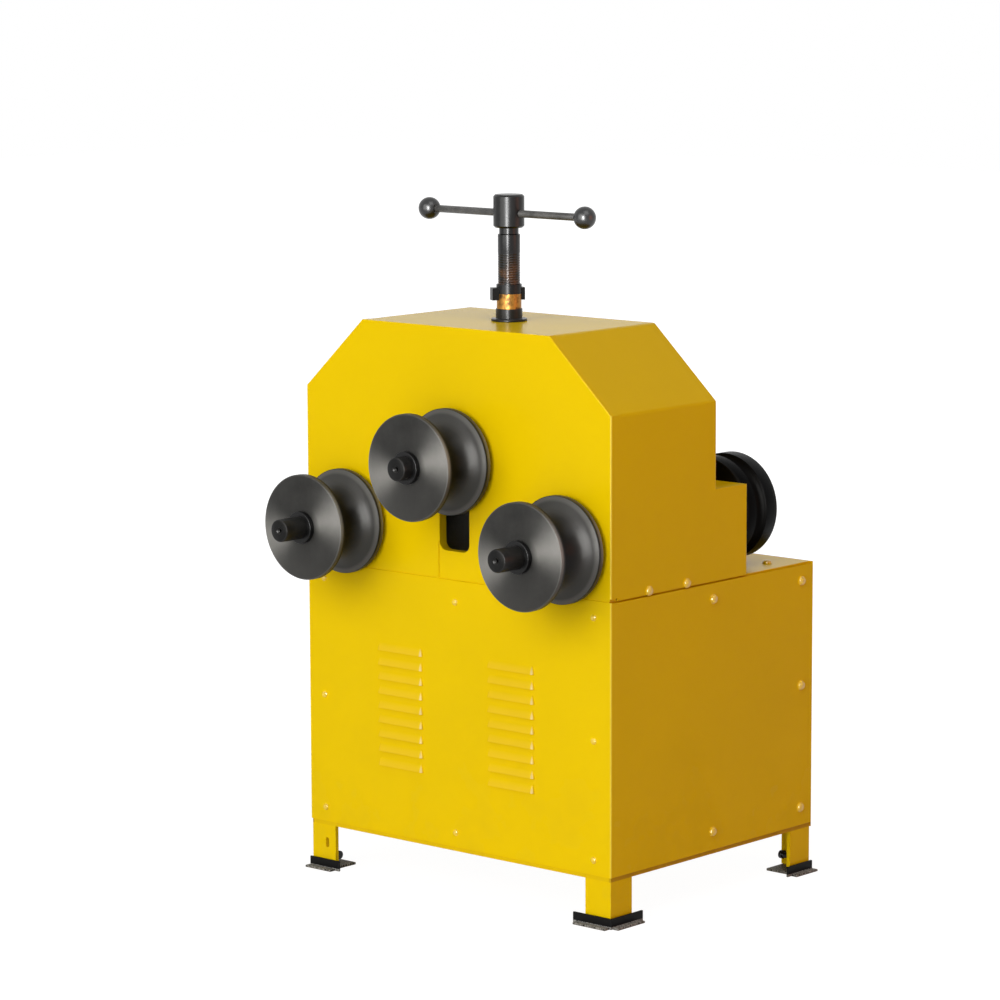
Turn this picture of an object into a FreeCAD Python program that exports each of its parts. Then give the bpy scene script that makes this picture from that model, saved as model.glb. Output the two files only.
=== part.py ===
import FreeCAD, Part
import math
import os

import Sketcher
from FreeCAD import Rotation, Vector

# Ring roller: a steel cabinet on four angle legs carries two driven lower rolls
# and, between two bearing plates, a slide with the upper roll that a hand screw
# presses down.  Millimetres.  +X is the right-hand side, +Y the back, +Z up; the
# origin is on the floor under the middle of the whole machine.

SIZES = {
    # cabinet
    "cabinet_width": 650.0,
    "cabinet_depth": 516.0,
    "deck_height": 518.5,
    "ground_gap": 74.0,          # floor to the underside of the lower rails
    "sheet": 2.0,                # panels and covers
    "leg_width": 52.0,           # angle iron of legs and rails
    "leg_wall": 7.0,
    "shelf_height": 165.0,       # top of the motor shelf
    "shelf_thickness": 6.0,
    "deck_thickness": 8.0,
    # feet
    "foot_wall": 3.5,
    "foot_flange": 15.0,
    "foot_length": 75.0,         # walls of the front right shoe, round its corner
    "foot_short": 66.0,          # the single walls of the other shoes
    "foot_trim": 9.0,            # a flange is shorter than its wall
    "foot_height": 17.0,
    "foot_sole": 4.0,
    # head
    "head_depth": 261.0,
    "head_top_width": 398.0,
    "chamfer_drop": 116.0,       # top of the head down to the lower end of its chamfers
    "gearcase_rise": 73.5,       # lower axes to the top of the gear case
    "plate_thickness": 16.0,     # both bearing plates
    "seam_width": 1.6,
    "front_gap": 1.6,            # front panel to the front plate over it
    "side_gap": 3.0,             # side panels to the covers over them
    "plate_notch": 3.0,          # across the lower corners of the front plate
    "plate_notch_rise": 4.0,
    "seam_offset": 34.5,         # middle of the machine to the seam under the slot
    # rolls
    "roll_inset": 93.0,          # side of the cabinet to a lower axis
    "lower_axis_rise": 74.0,     # deck to the lower axes
    "upper_axis_rise": 117.5,    # lower axes to the upper axis
    "roll_radius": 85.5,
    "roll_width": 100.0,
    "roll_gap": 8.5,             # front plate to the roll
    "tube_radius": 38.0,
    "groove_depth": 36.0,
    "roll_edge": 1.5,
    "mouth_drop": 7.0,           # bevel round the groove's mouth, along the radius
    "mouth_flare": 3.0,          # and along the axis
    "seat_radius": 22.5,         # shaft inside the roll
    "journal_step": 2.5,         # journals in the bearings are thicker than the seats
    "lower_end_radius": 18.5,
    "upper_end_radius": 19.0,
    "lower_reach": 162.5,        # front plate to the tip of a lower shaft
    "upper_reach": 136.5,
    "nut_rim": 3.5,              # nuts are wider than the seats
    "nut_thickness": 9.0,
    "thread_relief": 1.0,
    "key_width": 12.0,
    "key_rise": 3.5,             # above the roll seat
    # bearings
    "bearing_wall": 20.0,        # outer less inner radius
    "bearing_width": 20.0,
    "bearing_seal": 6.0,         # width of the groove round each face
    "housing_wall": 13.0,
    "housing_lip": 2.0,
    "fit_gap": 0.05,             # round parts in their seats
    "slide_gap": 0.3,            # flat parts that slide or pass
    "bore_gap": 3.0,             # shafts through plates
    # slide and press screw
    "slide_width": 150.0,
    "slide_height": 130.0,
    "slide_drop": 85.0,          # travel down from the position drawn
    "slide_lift": 45.0,          # travel up
    "lift_clearance": 18.0,      # left over the thrust cap at the top
    "slot_width": 64.0,
    "slot_overrun": 33.0,        # slot below the shaft at its lowest
    "slot_corner": 14.0,
    "rail_thickness": 20.0,
    "bridge_thickness": 40.0,
    "bridge_inset": 9.0,         # at each end, from the head's flat top
    "bridge_clearance": 11.0,    # bridge to the cover over it
    "screw_setback": 133.5,
    "screw_radius": 18.0,
    "screw_neck_step": 2.3,      # neck under the hub is thinner than the thread
    "screw_neck_length": 11.0,
    "hub_below_bar": 23.0,
    "hub_above_bar": 30.0,
    "hub_wall": 7.0,
    "hub_edge": 3.0,
    "pin_clearance": 2.0,        # end of the screw's neck to the bar
    "flange_step": 8.5,
    "flange_thickness": 8.0,
    "cap_rim": 18.7,
    "cap_thickness": 20.0,
    "nut_flange_step": 10.0,
    "nut_flange_thickness": 12.0,
    "nut_body_step": 10.5,
    "neck_wall": 2.0,
    "neck_rise": 44.0,           # top of the cover to the top of the bronze neck
    "seal_wall": 1.5,
    "seal_flange_step": 9.0,
    "seal_flange": 4.0,
    "seal_height": 20.0,
    "ring_wall": 2.5,
    "ring_height": 15.0,
    "lug_reach": 29.5,           # the ring's long lug, from the screw's axis
    "lug_short_reach": 24.5,
    "lug_height": 20.0,
    "lug_width": 16.0,
    "lug_hang": 10.0,            # lugs reach down beside the neck
    "lug_turn": 56.0,            # degrees from +X
    "bar_radius": 6.0,
    "bar_rise": 129.0,           # top of the bronze neck to the bar
    "bar_seat": 11.1,            # bar's end to the middle of a ball
    "bar_shift": 6.4,            # the bar is drawn slid this far to the left
    "ball_spacing": 331.0,
    "ball_radius": 18.0,
    # drive
    "chain_pitch": 19.05,
    "chain_setback": 33.0,       # back of the head to the chain
    "chain_room": 47.0,          # chain to the back of the gear case
    "chain_width": 11.1,
    "chain_plate": 1.8,
    "chain_play": 0.5,
    "link_height": 16.0,
    "roller_radius": 6.0,
    "sprocket_hub_wall": 10.0,
    "sprocket_hub_length": 24.0,
    "drive_hub_length": 12.0,
    "drive_axis_height": 330.0,
    "output_radius": 17.5,
    "motor_axis_height": 262.0,
    "motor_radius": 78.0,
    "motor_flange": 10.0,
    "motor_flange_step": 6.0,
    "motor_clearance": 12.0,     # fan cover to the side panel
    "fan_cover_depth": 24.0,
    "fin_height": 5.0,
    "fin_width": 3.0,
    "terminal_width": 80.0,
    "terminal_depth": 90.0,
    "terminal_rise": 30.0,
    "gearbox_width": 170.0,
    "gearbox_depth": 130.0,
    "gearbox_height": 255.0,
    "gearbox_setback": 24.0,     # back of the gearbox to the chain
    "gearbox_boss": 5.0,
    "gearbox_neck": 12.0,
    "control_width": 110.0,
    "control_depth": 160.0,
    "control_height": 150.0,
    "control_clearance": 20.0,
    # storage pegs and spare rolls
    "peg_rise": 21.9,            # lower axes to the pegs
    "peg_radius": 22.5,
    "peg_collar_step": 7.5,
    "peg_collar": 4.9,
    "peg_stud": 18.0,
    "spare_radius": 86.5,
    "spare_width": 82.0,
    "spare_tube_radius": 12.5,
    "spare_groove_depth": 12.0,
    "spare_mouth_drop": 2.0,
    "spare_mouth_flare": 1.0,
    "bracket_bar": 10.0,
    "bracket_height": 60.0,
    "bracket_clearance": 18.0,
    # louvres
    "louvre_length": 98.0,
    "louvre_pitch": 23.9,
    "louvre_rise": 15.0,
    "louvre_depth": 4.6,
    "louvre_wall": 1.2,
    "louvre_column": 119.0,      # middle of the machine to the middle of a column
    "louvre_lowest": 194.0,
    # fasteners
    "dome_radius": 8.0,
    "dome_height": 5.5,
    "pan_radius": 5.5,
    "pan_height": 3.0,
    "front_screw_inset": 35.0,
    "top_screw_drop": 28.5,      # deck to the top row
    "middle_screw_drop": 36.5,   # deck to the screw between the louvre columns
    "front_screw_drop": 223.5,   # deck to the middle row
    "low_screw_rise": 31.0,      # underside of the cabinet to the bottom row
    "side_screw_inset": 31.0,
    "side_screw_middle": 254.0,
    "side_screw_drop": 202.5,
    "side_low_rise": 37.5,
    "cover_screw_rise": 6.0,
    "cover_screw_front": 92.0,
    "cover_screw_pitch": 94.0,
    "deck_screw_inset": 45.0,
    "deck_screw_setback": 65.0,
    "bolt_radius": 5.0,
    "bolt_head": 7.0,            # radius and height
    "bolt_clearance": 1.0,       # head to the leg
    "bolt_length": 41.0,
    "bolt_height": 22.0,
    "leg_slot_length": 17.0,
    "leg_slot_width": 7.0,
    "leg_slot_inset": 35.0,
    "leg_slot_height": 44.0,
    # cord inlet
    "gland_inset": 104.0,
    "gland_rise": 93.6,
    "gland_radius": 10.0,
    "gland_wall": 4.0,
    "gland_nut": 5.0,
    "gland_flange": 6.0,
    "gland_reach": 18.5,
}
FOOT_WALLS = {"front_left": ("end",), "front_right": ("side", "end"),
              "rear_left": ("side",), "rear_right": ("side",)}
LOWER_TEETH = 18
DRIVE_TEETH = 13
LOUVRES_PER_COLUMN = 9
LOUVRE_COLUMNS = 2
LOUVRE_CROWN = 0.62              # hood's depth half way up, of its depth at the lip
LOUVRE_OPENING = 0.4             # opening behind a hood, of its height
MOTOR_FINS = 24

doc = FreeCAD.newDocument("ring_roller")
sheet = doc.addObject("Spreadsheet::Sheet", "Sizes")
for row, (alias, value) in enumerate(SIZES.items(), start=1):
    sheet.set(f"A{row}", alias)
    sheet.set(f"B{row}", str(value))
    sheet.setAlias(f"B{row}", alias)
doc.recompute()


class Size:
    """A length that knows its value and the sheet expression that gives it."""

    def __init__(self, value, text):
        self.value = float(value)
        self.text = text

    @staticmethod
    def of(other):
        return other if isinstance(other, Size) else Size(other, f"({float(other)!r})")

    def join(self, other, sign, value):
        return Size(value, f"({self.text} {sign} {other.text})")

    def __add__(self, other):
        other = Size.of(other)
        return self.join(other, "+", self.value + other.value)

    def __sub__(self, other):
        other = Size.of(other)
        return self.join(other, "-", self.value - other.value)

    def __mul__(self, other):
        other = Size.of(other)
        return self.join(other, "*", self.value * other.value)

    def __truediv__(self, other):
        other = Size.of(other)
        return self.join(other, "/", self.value / other.value)

    def __radd__(self, other):
        return Size.of(other) + self

    def __rsub__(self, other):
        return Size.of(other) - self

    def __rmul__(self, other):
        return Size.of(other) * self

    def __neg__(self):
        return Size(-self.value, f"(-1 * {self.text})")

    def __float__(self):
        return self.value


def root(size):
    """Square root of a size that is an area."""
    return Size(math.sqrt(size.value), f"sqrt({size.text})")


class Sheet:
    """Reads a driving dimension by its alias."""

    def __getattr__(self, alias):
        return Size(sheet.get(alias), f"Sizes.{alias}")


S = Sheet()

# ---------------------------------------------------------------- shared places
half_width = S.cabinet_width / 2
front = (S.lower_reach - S.cabinet_depth - S.gland_reach) / 2
back = front + S.cabinet_depth
inner_x = half_width - S.sheet                      # inside the side panels
plate_back = front + S.plate_thickness              # back of the front plate
rear_plate_back = front + S.head_depth - S.sheet
rear_plate_front = rear_plate_back - S.plate_thickness
chain_y = front + S.head_depth + S.chain_setback
gearcase_back = chain_y + S.chain_room
roll_back = front - S.roll_gap
roll_front = roll_back - S.roll_width
axis_x = half_width - S.roll_inset
screw_y = front + S.screw_setback
lower_z = S.deck_height + S.lower_axis_rise
upper_z = lower_z + S.upper_axis_rise
gearcase_top = lower_z + S.gearcase_rise
slide_bottom = upper_z - S.slide_height / 2
slide_top = slide_bottom + S.slide_height
bridge_bottom = slide_top + S.cap_thickness + S.slide_lift + S.lift_clearance + S.nut_flange_thickness
bridge_top = bridge_bottom + S.bridge_thickness
head_top = bridge_top + S.bridge_clearance + S.sheet
neck_top = head_top + S.neck_rise
bar_z = neck_top + S.bar_rise
hub_bottom = bar_z - S.hub_below_bar
groove_root = S.roll_radius - S.groove_depth
journal_radius = S.seat_radius + S.journal_step
bearing_radius = journal_radius + S.bearing_wall
housing_radius = bearing_radius + S.housing_wall
shaft_bore = journal_radius + S.bore_gap              # shafts pass through plates
nut_radius = S.seat_radius + S.nut_rim
neck_radius = S.screw_radius + S.neck_wall
slot_bottom = upper_z - S.slide_drop - shaft_bore - S.slot_overrun
gearbox_front = chain_y - S.gearbox_setback - S.gearbox_depth
gearbox_middle = gearbox_front + S.gearbox_depth / 2
peg_z = lower_z + S.peg_rise
peg_collar_radius = S.peg_radius + S.peg_collar_step
frame_x = half_width - S.sheet                      # outer faces of legs and rails
frame_front = front + S.sheet
frame_back = back - S.sheet
frame_top = S.deck_height - S.deck_thickness
bracket_back = gearcase_back - S.sheet
spare_front = gearcase_back + S.peg_collar
SIDES = {"left": -1, "right": 1}
ENDS = {"front": 1, "rear": -1}

nodes = []


# ---------------------------------------------------------------- model helpers
def bind(obj, prop, size):
    """Give a property its number, and the expression behind it where it has one."""
    if isinstance(size, Size):
        obj.setExpression(prop, size.text)
    else:
        obj.setExpression(prop, f"{float(size)!r}")


def place(obj, x=0, y=0, z=0, rotation=None):
    if rotation:
        obj.Placement = FreeCAD.Placement(Vector(), rotation)
    for axis, size in zip("xyz", (x, y, z)):
        bind(obj, f"Placement.Base.{axis}", size)
    return obj


def node(obj, name):
    """Name a finished sub-part."""
    obj.Label = name
    nodes.append(obj)
    return obj


ALONG_Y = Rotation(Vector(1, 0, 0), -90)
ALONG_X = Rotation(Vector(0, 1, 0), 90)
ALONG_Z = None
SEAM_ASIDE = Rotation(Vector(0, 0, 1), 110)         # keeps a ball's seam off the bar's hole


def box(low, high):
    """A block between two corners."""
    obj = doc.addObject("Part::Box", "Block")
    for prop, start, end in zip(("Length", "Width", "Height"), low, high):
        bind(obj, prop, Size.of(end) - start)
    return place(obj, *low)


def rod(at, radius, length, rotation=ALONG_Z):
    """A round bar that starts at a point."""
    obj = doc.addObject("Part::Cylinder", "Rod")
    bind(obj, "Radius", radius)
    bind(obj, "Height", length)
    return place(obj, *at, rotation=rotation)


def fused(*shapes):
    obj = doc.addObject("Part::MultiFuse", "Fusion")
    obj.Shapes = list(shapes)
    return obj


def grouped(*shapes):
    """Separate solids of one sub-part."""
    obj = doc.addObject("Part::Compound", "Group")
    obj.Links = list(shapes)
    return obj


def cut(base, *tools):
    obj = doc.addObject("Part::Cut", "Cut")
    obj.Base = base
    obj.Tool = tools[0] if len(tools) == 1 else fused(*tools)
    return obj


def new_body(x=0, y=0, z=0, rotation=None):
    return place(doc.addObject("PartDesign::Body", "Body"), x, y, z, rotation)


def origin_plane(body, role):
    return next(f for f in body.Origin.OriginFeatures if f.Role == role)


class Arc:
    """An outline's next corner, reached by an arc of a radius; turn 1 bulges left."""

    def __init__(self, corner, radius, turn=1):
        self.corner = corner
        self.radius = radius
        self.turn = turn


def arc_centre(start, end, radius, turn):
    chord = end - start
    rise = math.sqrt(max(radius ** 2 - (chord.Length / 2) ** 2, 0))
    side = Vector(-chord.y, chord.x, 0).normalize()
    return (start + end) / 2 - side * rise * turn


def outline(body, role, corners):
    """A closed sketch whose corners and radii are bound to the sheet."""
    sketch = body.newObject("Sketcher::SketchObject", "Outline")
    sketch.AttachmentSupport = (origin_plane(body, role), [""])
    sketch.MapMode = "FlatFace"
    places = [item.corner if isinstance(item, Arc) else item for item in corners]
    points = [Vector(float(a), float(b), 0) for a, b in places]
    starts = []
    for index, item in enumerate(corners):
        start, end = points[index - 1], points[index]
        if isinstance(item, Arc):
            radius = float(item.radius)
            centre = arc_centre(start, end, radius, item.turn)
            first, last = (end, start) if item.turn > 0 else (start, end)
            circle = Part.Circle(centre, Vector(0, 0, 1), radius)
            angles = [math.atan2(p.y - centre.y, p.x - centre.x) for p in (first, last)]
            sketch.addGeometry(Part.ArcOfCircle(circle, *angles))
            starts.append((2, 1) if item.turn > 0 else (1, 2))
        else:
            sketch.addGeometry(Part.LineSegment(start, end))
            starts.append((1, 2))
    for index, item in enumerate(corners):
        after = (index + 1) % len(corners)
        end = starts[index][1]
        sketch.addConstraint(Sketcher.Constraint("Coincident", index, end, after, starts[after][0]))
        for kind, size in zip(("DistanceX", "DistanceY"), places[index]):
            pin(sketch, kind, (index, end), size)
        if isinstance(item, Arc):
            number = sketch.addConstraint(Sketcher.Constraint("Radius", index, float(item.radius)))
            bind(sketch, f"Constraints[{number}]", item.radius)
    return sketch


def pin(sketch, kind, point, size):
    """Fix one coordinate of a sketch point from the sketch's origin."""
    value = float(size)
    if value == 0 and not isinstance(size, Size):
        axis = -2 if kind == "DistanceX" else -1
        sketch.addConstraint(Sketcher.Constraint("PointOnObject", point[0], point[1], axis))
        return
    number = sketch.addConstraint(Sketcher.Constraint(kind, -1, 1, point[0], point[1], value))
    bind(sketch, f"Constraints[{number}]", size)


def pad(body, role, corners, length, reverse=False):
    feature = body.newObject("PartDesign::Pad", "Pad")
    feature.Profile = outline(body, role, corners)
    bind(feature, "Length", length)
    feature.Reversed = reverse
    return feature


def pocket(body, role, corners, reverse=False):
    """Cut an outline right through, both ways from its plane."""
    feature = body.newObject("PartDesign::Pocket", "Pocket")
    feature.Profile = outline(body, role, corners)
    feature.Type = 1
    feature.Midplane = True
    feature.Reversed = reverse
    return feature


def turned(body, corners, role="XY_Plane"):
    """Turn an outline round its sketch's upright axis."""
    feature = body.newObject("PartDesign::Revolution", "Turning")
    sketch = outline(body, role, corners)
    feature.Profile = sketch
    feature.ReferenceAxis = (sketch, ["V_Axis"])
    feature.Angle = 360
    return feature


def circle_pocket(body, role, x, y, radius):
    """Bore a hole right through, both ways from its plane."""
    sketch = body.newObject("Sketcher::SketchObject", "Bore")
    sketch.AttachmentSupport = (origin_plane(body, role), [""])
    sketch.MapMode = "FlatFace"
    sketch.addGeometry(Part.Circle(Vector(float(x), float(y), 0), Vector(0, 0, 1), float(radius)))
    pin(sketch, "DistanceX", (0, 3), x)
    pin(sketch, "DistanceY", (0, 3), y)
    number = sketch.addConstraint(Sketcher.Constraint("Radius", 0, float(radius)))
    bind(sketch, f"Constraints[{number}]", radius)
    feature = body.newObject("PartDesign::Pocket", "Drilling")
    feature.Profile = sketch
    feature.Type = 1
    feature.Midplane = True
    return feature


# ---------------------------------------------------------------- frame and feet
def angle_bar(low, high, open_low, open_high):
    """A length of angle iron: a block with its inner corner taken out."""
    return cut(box(low, high), box(open_low, open_high))


def leg_slot():
    """A short upright slot in the front left leg, for a tie bolt."""
    x, y, z = S.leg_slot_inset - half_width, frame_front, S.leg_slot_height
    end = S.leg_slot_width / 2
    half = S.leg_slot_length / 2 - end
    ends = [rod((x, y, z + half * sign), end, S.leg_wall, ALONG_Y) for sign in SIDES.values()]
    return fused(*ends, box((x - end, y, z - half), (x + end, y + S.leg_wall, z + half)))


def base_frame():
    bars = []
    wall, width = S.leg_wall, S.leg_width
    for x_sign in SIDES.values():
        for y_sign in ENDS.values():
            outer_y = frame_front if y_sign > 0 else frame_back
            x = sorted((frame_x * x_sign, (frame_x - width) * x_sign), key=float)
            y = sorted((outer_y, outer_y + width * y_sign), key=float)
            x_open = sorted(((frame_x - wall) * x_sign, (frame_x - width) * x_sign), key=float)
            y_open = sorted((outer_y + wall * y_sign, outer_y + width * y_sign), key=float)
            bars.append(angle_bar((x[0], y[0], S.foot_sole), (x[1], y[1], frame_top),
                                  (x_open[0], y_open[0], S.foot_sole),
                                  (x_open[1], y_open[1], frame_top)))
    bars[0] = cut(bars[0], leg_slot())
    rail_x = frame_x - width
    for bottom, up in ((S.ground_gap, 1), (frame_top, -1)):
        for y_sign in ENDS.values():
            outer_y = frame_front if y_sign > 0 else frame_back
            y = sorted((outer_y, outer_y + width * y_sign), key=float)
            y_open = sorted((outer_y + wall * y_sign, outer_y + width * y_sign), key=float)
            z = sorted((bottom, bottom + width * up), key=float)
            z_open = sorted((bottom + wall * up, bottom + width * up), key=float)
            bars.append(angle_bar((-rail_x, y[0], z[0]), (rail_x, y[1], z[1]),
                                  (-rail_x, y_open[0], z_open[0]), (rail_x, y_open[1], z_open[1])))
    levels = ((S.ground_gap, 1), (frame_top, -1), (S.shelf_height - S.shelf_thickness, -1))
    for x_sign in SIDES.values():
        x = sorted((frame_x * x_sign, (frame_x - width) * x_sign), key=float)
        x_open = sorted(((frame_x - wall) * x_sign, (frame_x - width) * x_sign), key=float)
        for bottom, up in levels:
            z = sorted((bottom, bottom + width * up), key=float)
            z_open = sorted((bottom + wall * up, bottom + width * up), key=float)
            bars.append(angle_bar((x[0], frame_front + width, z[0]), (x[1], frame_back - width, z[1]),
                                  (x_open[0], frame_front + width, z_open[0]),
                                  (x_open[1], frame_back - width, z_open[1])))
    node(grouped(*bars), "base_frame")


def foot(name, x_sign, y_sign, walls):
    """A shoe: a sole under the leg, and walls with flanges along the outer sides it is given."""
    outer_y = front if y_sign > 0 else back
    outer_x = half_width * x_sign
    wall, flange = S.foot_wall, S.foot_flange
    both = len(walls) == 2
    corner = wall if both else wall * 0
    length = S.foot_length if both else S.foot_short
    trimmed = length - S.foot_trim
    out_x, in_x = x_sign, -x_sign
    out_y, in_y = -y_sign, y_sign

    def block(x_from, x_to, y_from, y_to, height):
        x = sorted((outer_x + x_from, outer_x + x_to), key=float)
        y = sorted((outer_y + y_from, outer_y + y_to), key=float)
        return box((x[0], y[0], 0), (x[1], y[1], height))

    blocks = [block(0, S.leg_width * in_x, 0, S.leg_width * in_y, S.foot_sole)]
    if "side" in walls:
        blocks += [block(0, wall * out_x, corner * out_y, length * in_y, S.foot_height),
                   block(0, flange * out_x, 0, trimmed * in_y, wall)]
    if "end" in walls:
        blocks += [block(corner * out_x, length * in_x, 0, wall * out_y, S.foot_height),
                   block(0, trimmed * in_x, 0, flange * out_y, wall)]
    node(fused(*blocks), name)


def feet():
    for side, x_sign in SIDES.items():
        for end, y_sign in ENDS.items():
            name = f"{end}_{side}"
            foot(f"foot_{name}", x_sign, y_sign, FOOT_WALLS[name])


def foot_bolts():
    """A cross bolt low in each leg, its head showing past the leg's inner edge."""
    bolts = []
    head, length, height = S.bolt_head, S.bolt_length, S.bolt_height
    for x_sign in SIDES.values():
        for outer_y, y_sign in ((frame_front, 1), (frame_back, -1)):
            y = outer_y + (S.leg_wall + head + S.bolt_clearance) * y_sign
            start = (frame_x - S.leg_wall) * x_sign
            end = start - length * x_sign
            near = min(start, end, key=float)
            head_at = end if x_sign > 0 else end - head
            bolts.append(fused(rod((near, y, height), S.bolt_radius, length, ALONG_X),
                               rod((head_at, y, height), head, head, ALONG_X)))
    node(grouped(*bolts), "foot_bolts")


# ---------------------------------------------------------------- panels
def louvre_profile(depth, rise):
    """Section of a pressed hood, from its lip at the bottom up to the panel."""
    lip = Part.LineSegment(Vector(0, 0, 0), Vector(0, -depth, 0)).toShape()
    middle = Vector(0, -depth * LOUVRE_CROWN, rise * 0.5)
    hood = Part.Arc(Vector(0, -depth, 0), middle, Vector(0, 0, rise)).toShape()
    wall = Part.LineSegment(Vector(0, 0, rise), Vector(0, 0, 0)).toShape()
    return Part.Face(Part.Wire([lip, hood, wall]))


def louvre_body(length, depth, rise):
    """A hood with rounded ends, its lip on the plane z = 0 and the panel at y = 0."""
    straight = length / 2 - depth
    profile = louvre_profile(depth, rise)
    profile.translate(Vector(-straight, 0, 0))
    shape = profile.extrude(Vector(2 * straight, 0, 0))
    for x_sign in (-1, 1):
        end = louvre_profile(depth, rise)
        end.translate(Vector(x_sign * straight, 0, 0))
        turn = 90 * x_sign
        shape = shape.fuse(end.revolve(Vector(x_sign * straight, 0, 0), Vector(0, 0, 1), turn))
    return shape.removeSplitter()


def front_panel():
    """The front sheet with its pressed louvres."""
    low = Vector(float(-half_width), float(front), float(S.ground_gap + S.leg_wall))
    top = float(S.deck_height) - float(S.front_gap)
    thickness = float(S.sheet)
    panel = Part.makeBox(float(S.cabinet_width), thickness, top - low.z, low)
    wall = float(S.louvre_wall)
    length, depth, rise = float(S.louvre_length), float(S.louvre_depth), float(S.louvre_rise)
    outer = louvre_body(length, depth, rise)
    inner = louvre_body(length - 2 * wall, depth - wall, rise - wall)
    slot = Part.makeBox(length - 2 * wall - 2, thickness + 1, rise * LOUVRE_OPENING,
                        Vector(1 + wall - length / 2, -0.5, 0))
    hoods, slots = [], []
    for column in range(LOUVRE_COLUMNS):
        x = float(S.louvre_column) * (2 * column - 1)
        for number in range(LOUVRES_PER_COLUMN):
            z = float(S.louvre_lowest) + number * float(S.louvre_pitch)
            place_at = Vector(x, float(front), z)
            for base, made in ((outer, hoods), (inner, slots), (slot, slots)):
                copy = base.copy()
                copy.translate(place_at)
                made.append(copy)
    shape = panel.fuse(hoods).cut(slots)
    obj = doc.addObject("Part::Feature", "FrontPanel")
    obj.Shape = shape.removeSplitter()
    node(obj, "front_panel")


def side_panel(name, x_sign):
    x = sorted((half_width * x_sign, inner_x * x_sign), key=float)
    bottom, top = S.ground_gap + S.leg_wall, S.deck_height - S.side_gap
    node(box((x[0], front + S.sheet, bottom), (x[1], back - S.sheet, top)), name)


def panels():
    front_panel()
    for side, x_sign in SIDES.items():
        side_panel(f"{side}_panel", x_sign)
    rear = box((-half_width, back - S.sheet, S.ground_gap), (half_width, back, S.deck_height))
    gland_hole = rod((gland_x, back - S.sheet * 2, gland_z), S.gland_radius + S.fit_gap, S.sheet * 3,
                     ALONG_Y)
    node(cut(rear, gland_hole), "rear_panel")
    inset = S.leg_width + 1
    tray_top = S.ground_gap + S.leg_wall + S.sheet
    node(box((inset - frame_x, frame_front + S.leg_wall, S.ground_gap + S.leg_wall),
             (frame_x - inset, frame_back - S.leg_wall, tray_top)), "bottom_tray")
    shelf_x = frame_x - S.leg_wall
    node(box((-shelf_x, frame_front + S.leg_width + 1, S.shelf_height - S.shelf_thickness),
             (shelf_x, frame_back - S.leg_width - 1, S.shelf_height)), "motor_shelf")


gland_x = half_width - S.gland_inset
gland_z = S.ground_gap + S.gland_rise


def cable_gland():
    """A cord inlet low on the back: a threaded sleeve with a nut inside and a flange, empty."""
    inside = S.sheet + S.gland_nut * 2
    flange_radius = S.gland_radius + S.gland_wall
    sleeve = rod((gland_x, back - inside, gland_z), S.gland_radius, inside + S.gland_reach, ALONG_Y)
    flange = rod((gland_x, back, gland_z), flange_radius, S.gland_flange, ALONG_Y)
    lock = rod((gland_x, back - S.sheet - S.gland_nut, gland_z), flange_radius, S.gland_nut, ALONG_Y)
    hole = rod((gland_x, back - inside, gland_z), S.gland_radius - S.gland_wall,
               inside + S.gland_reach, ALONG_Y)
    node(cut(fused(sleeve, flange, lock), hole), "cable_gland")


# ---------------------------------------------------------------- head
def head_corners(inset, bottom):
    """The chamfered outline of the head in X and Z, drawn in by a wall."""
    half_top = S.head_top_width / 2
    run = half_width - half_top
    rise = S.chamfer_drop
    slant = root(run * run + rise * rise)
    top_in = (slant - run) / rise * inset
    side_in = (slant - rise) / run * inset
    x, top = half_width - inset, head_top - inset
    corner_x = half_top - top_in
    corner_z = head_top - rise - side_in
    return [(-x, bottom), (x, bottom), (x, corner_z), (corner_x, top), (-corner_x, top),
            (-x, corner_z)]


def slot_corners(top):
    half, bottom, radius = S.slot_width / 2, slot_bottom, S.slot_corner
    return [Arc((radius - half, bottom), radius, -1), (half - radius, bottom),
            Arc((half, bottom + radius), radius, -1), (half, top), (-half, top), (-half, bottom + radius)]


def bearing_plate(y, inset):
    """A head-shaped plate with a bore for each lower shaft."""
    body = new_body(y=y)
    pad(body, "XZ_Plane", head_corners(inset, S.deck_height), S.plate_thickness, reverse=True)
    for sign in SIDES.values():
        circle_pocket(body, "XZ_Plane", axis_x * sign, lower_z, shaft_bore)
    return body


def plate_notch(x_sign):
    """The bite out of a lower corner of the front plate, over the end of the side's gap."""
    x = sorted((half_width * x_sign, (half_width - S.plate_notch) * x_sign), key=float)
    return box((x[0], front, S.deck_height), (x[1], plate_back, S.deck_height + S.plate_notch_rise))


def bearing_plates():
    """The front plate has the slide's slot, and a butt seam from the slot down to the deck."""
    plate = bearing_plate(front, 0)
    pocket(plate, "XZ_Plane", slot_corners(upper_z + S.slide_lift + shaft_bore))
    seam = box((-S.seam_offset, front, S.deck_height),
               (S.seam_width - S.seam_offset, front + S.seam_width, slot_bottom + S.slot_corner))
    notches = [plate_notch(x_sign) for x_sign in SIDES.values()]
    node(cut(plate, seam, *notches), "front_plate")
    node(bearing_plate(rear_plate_front, S.sheet), "rear_bearing_plate")


def deck_plate():
    """The plate the head stands on, with an opening for the chain."""
    edge = inner_x - S.side_gap
    plate = box((-edge, frame_front, frame_top), (edge, frame_back, S.deck_height))
    half = axis_x + S.bearing_wall * 2
    opening = box((-half, chain_y - S.chain_width * 2, frame_top),
                  (half, chain_y + S.chain_width * 2, S.deck_height))
    node(cut(plate, opening), "deck_plate")


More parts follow.
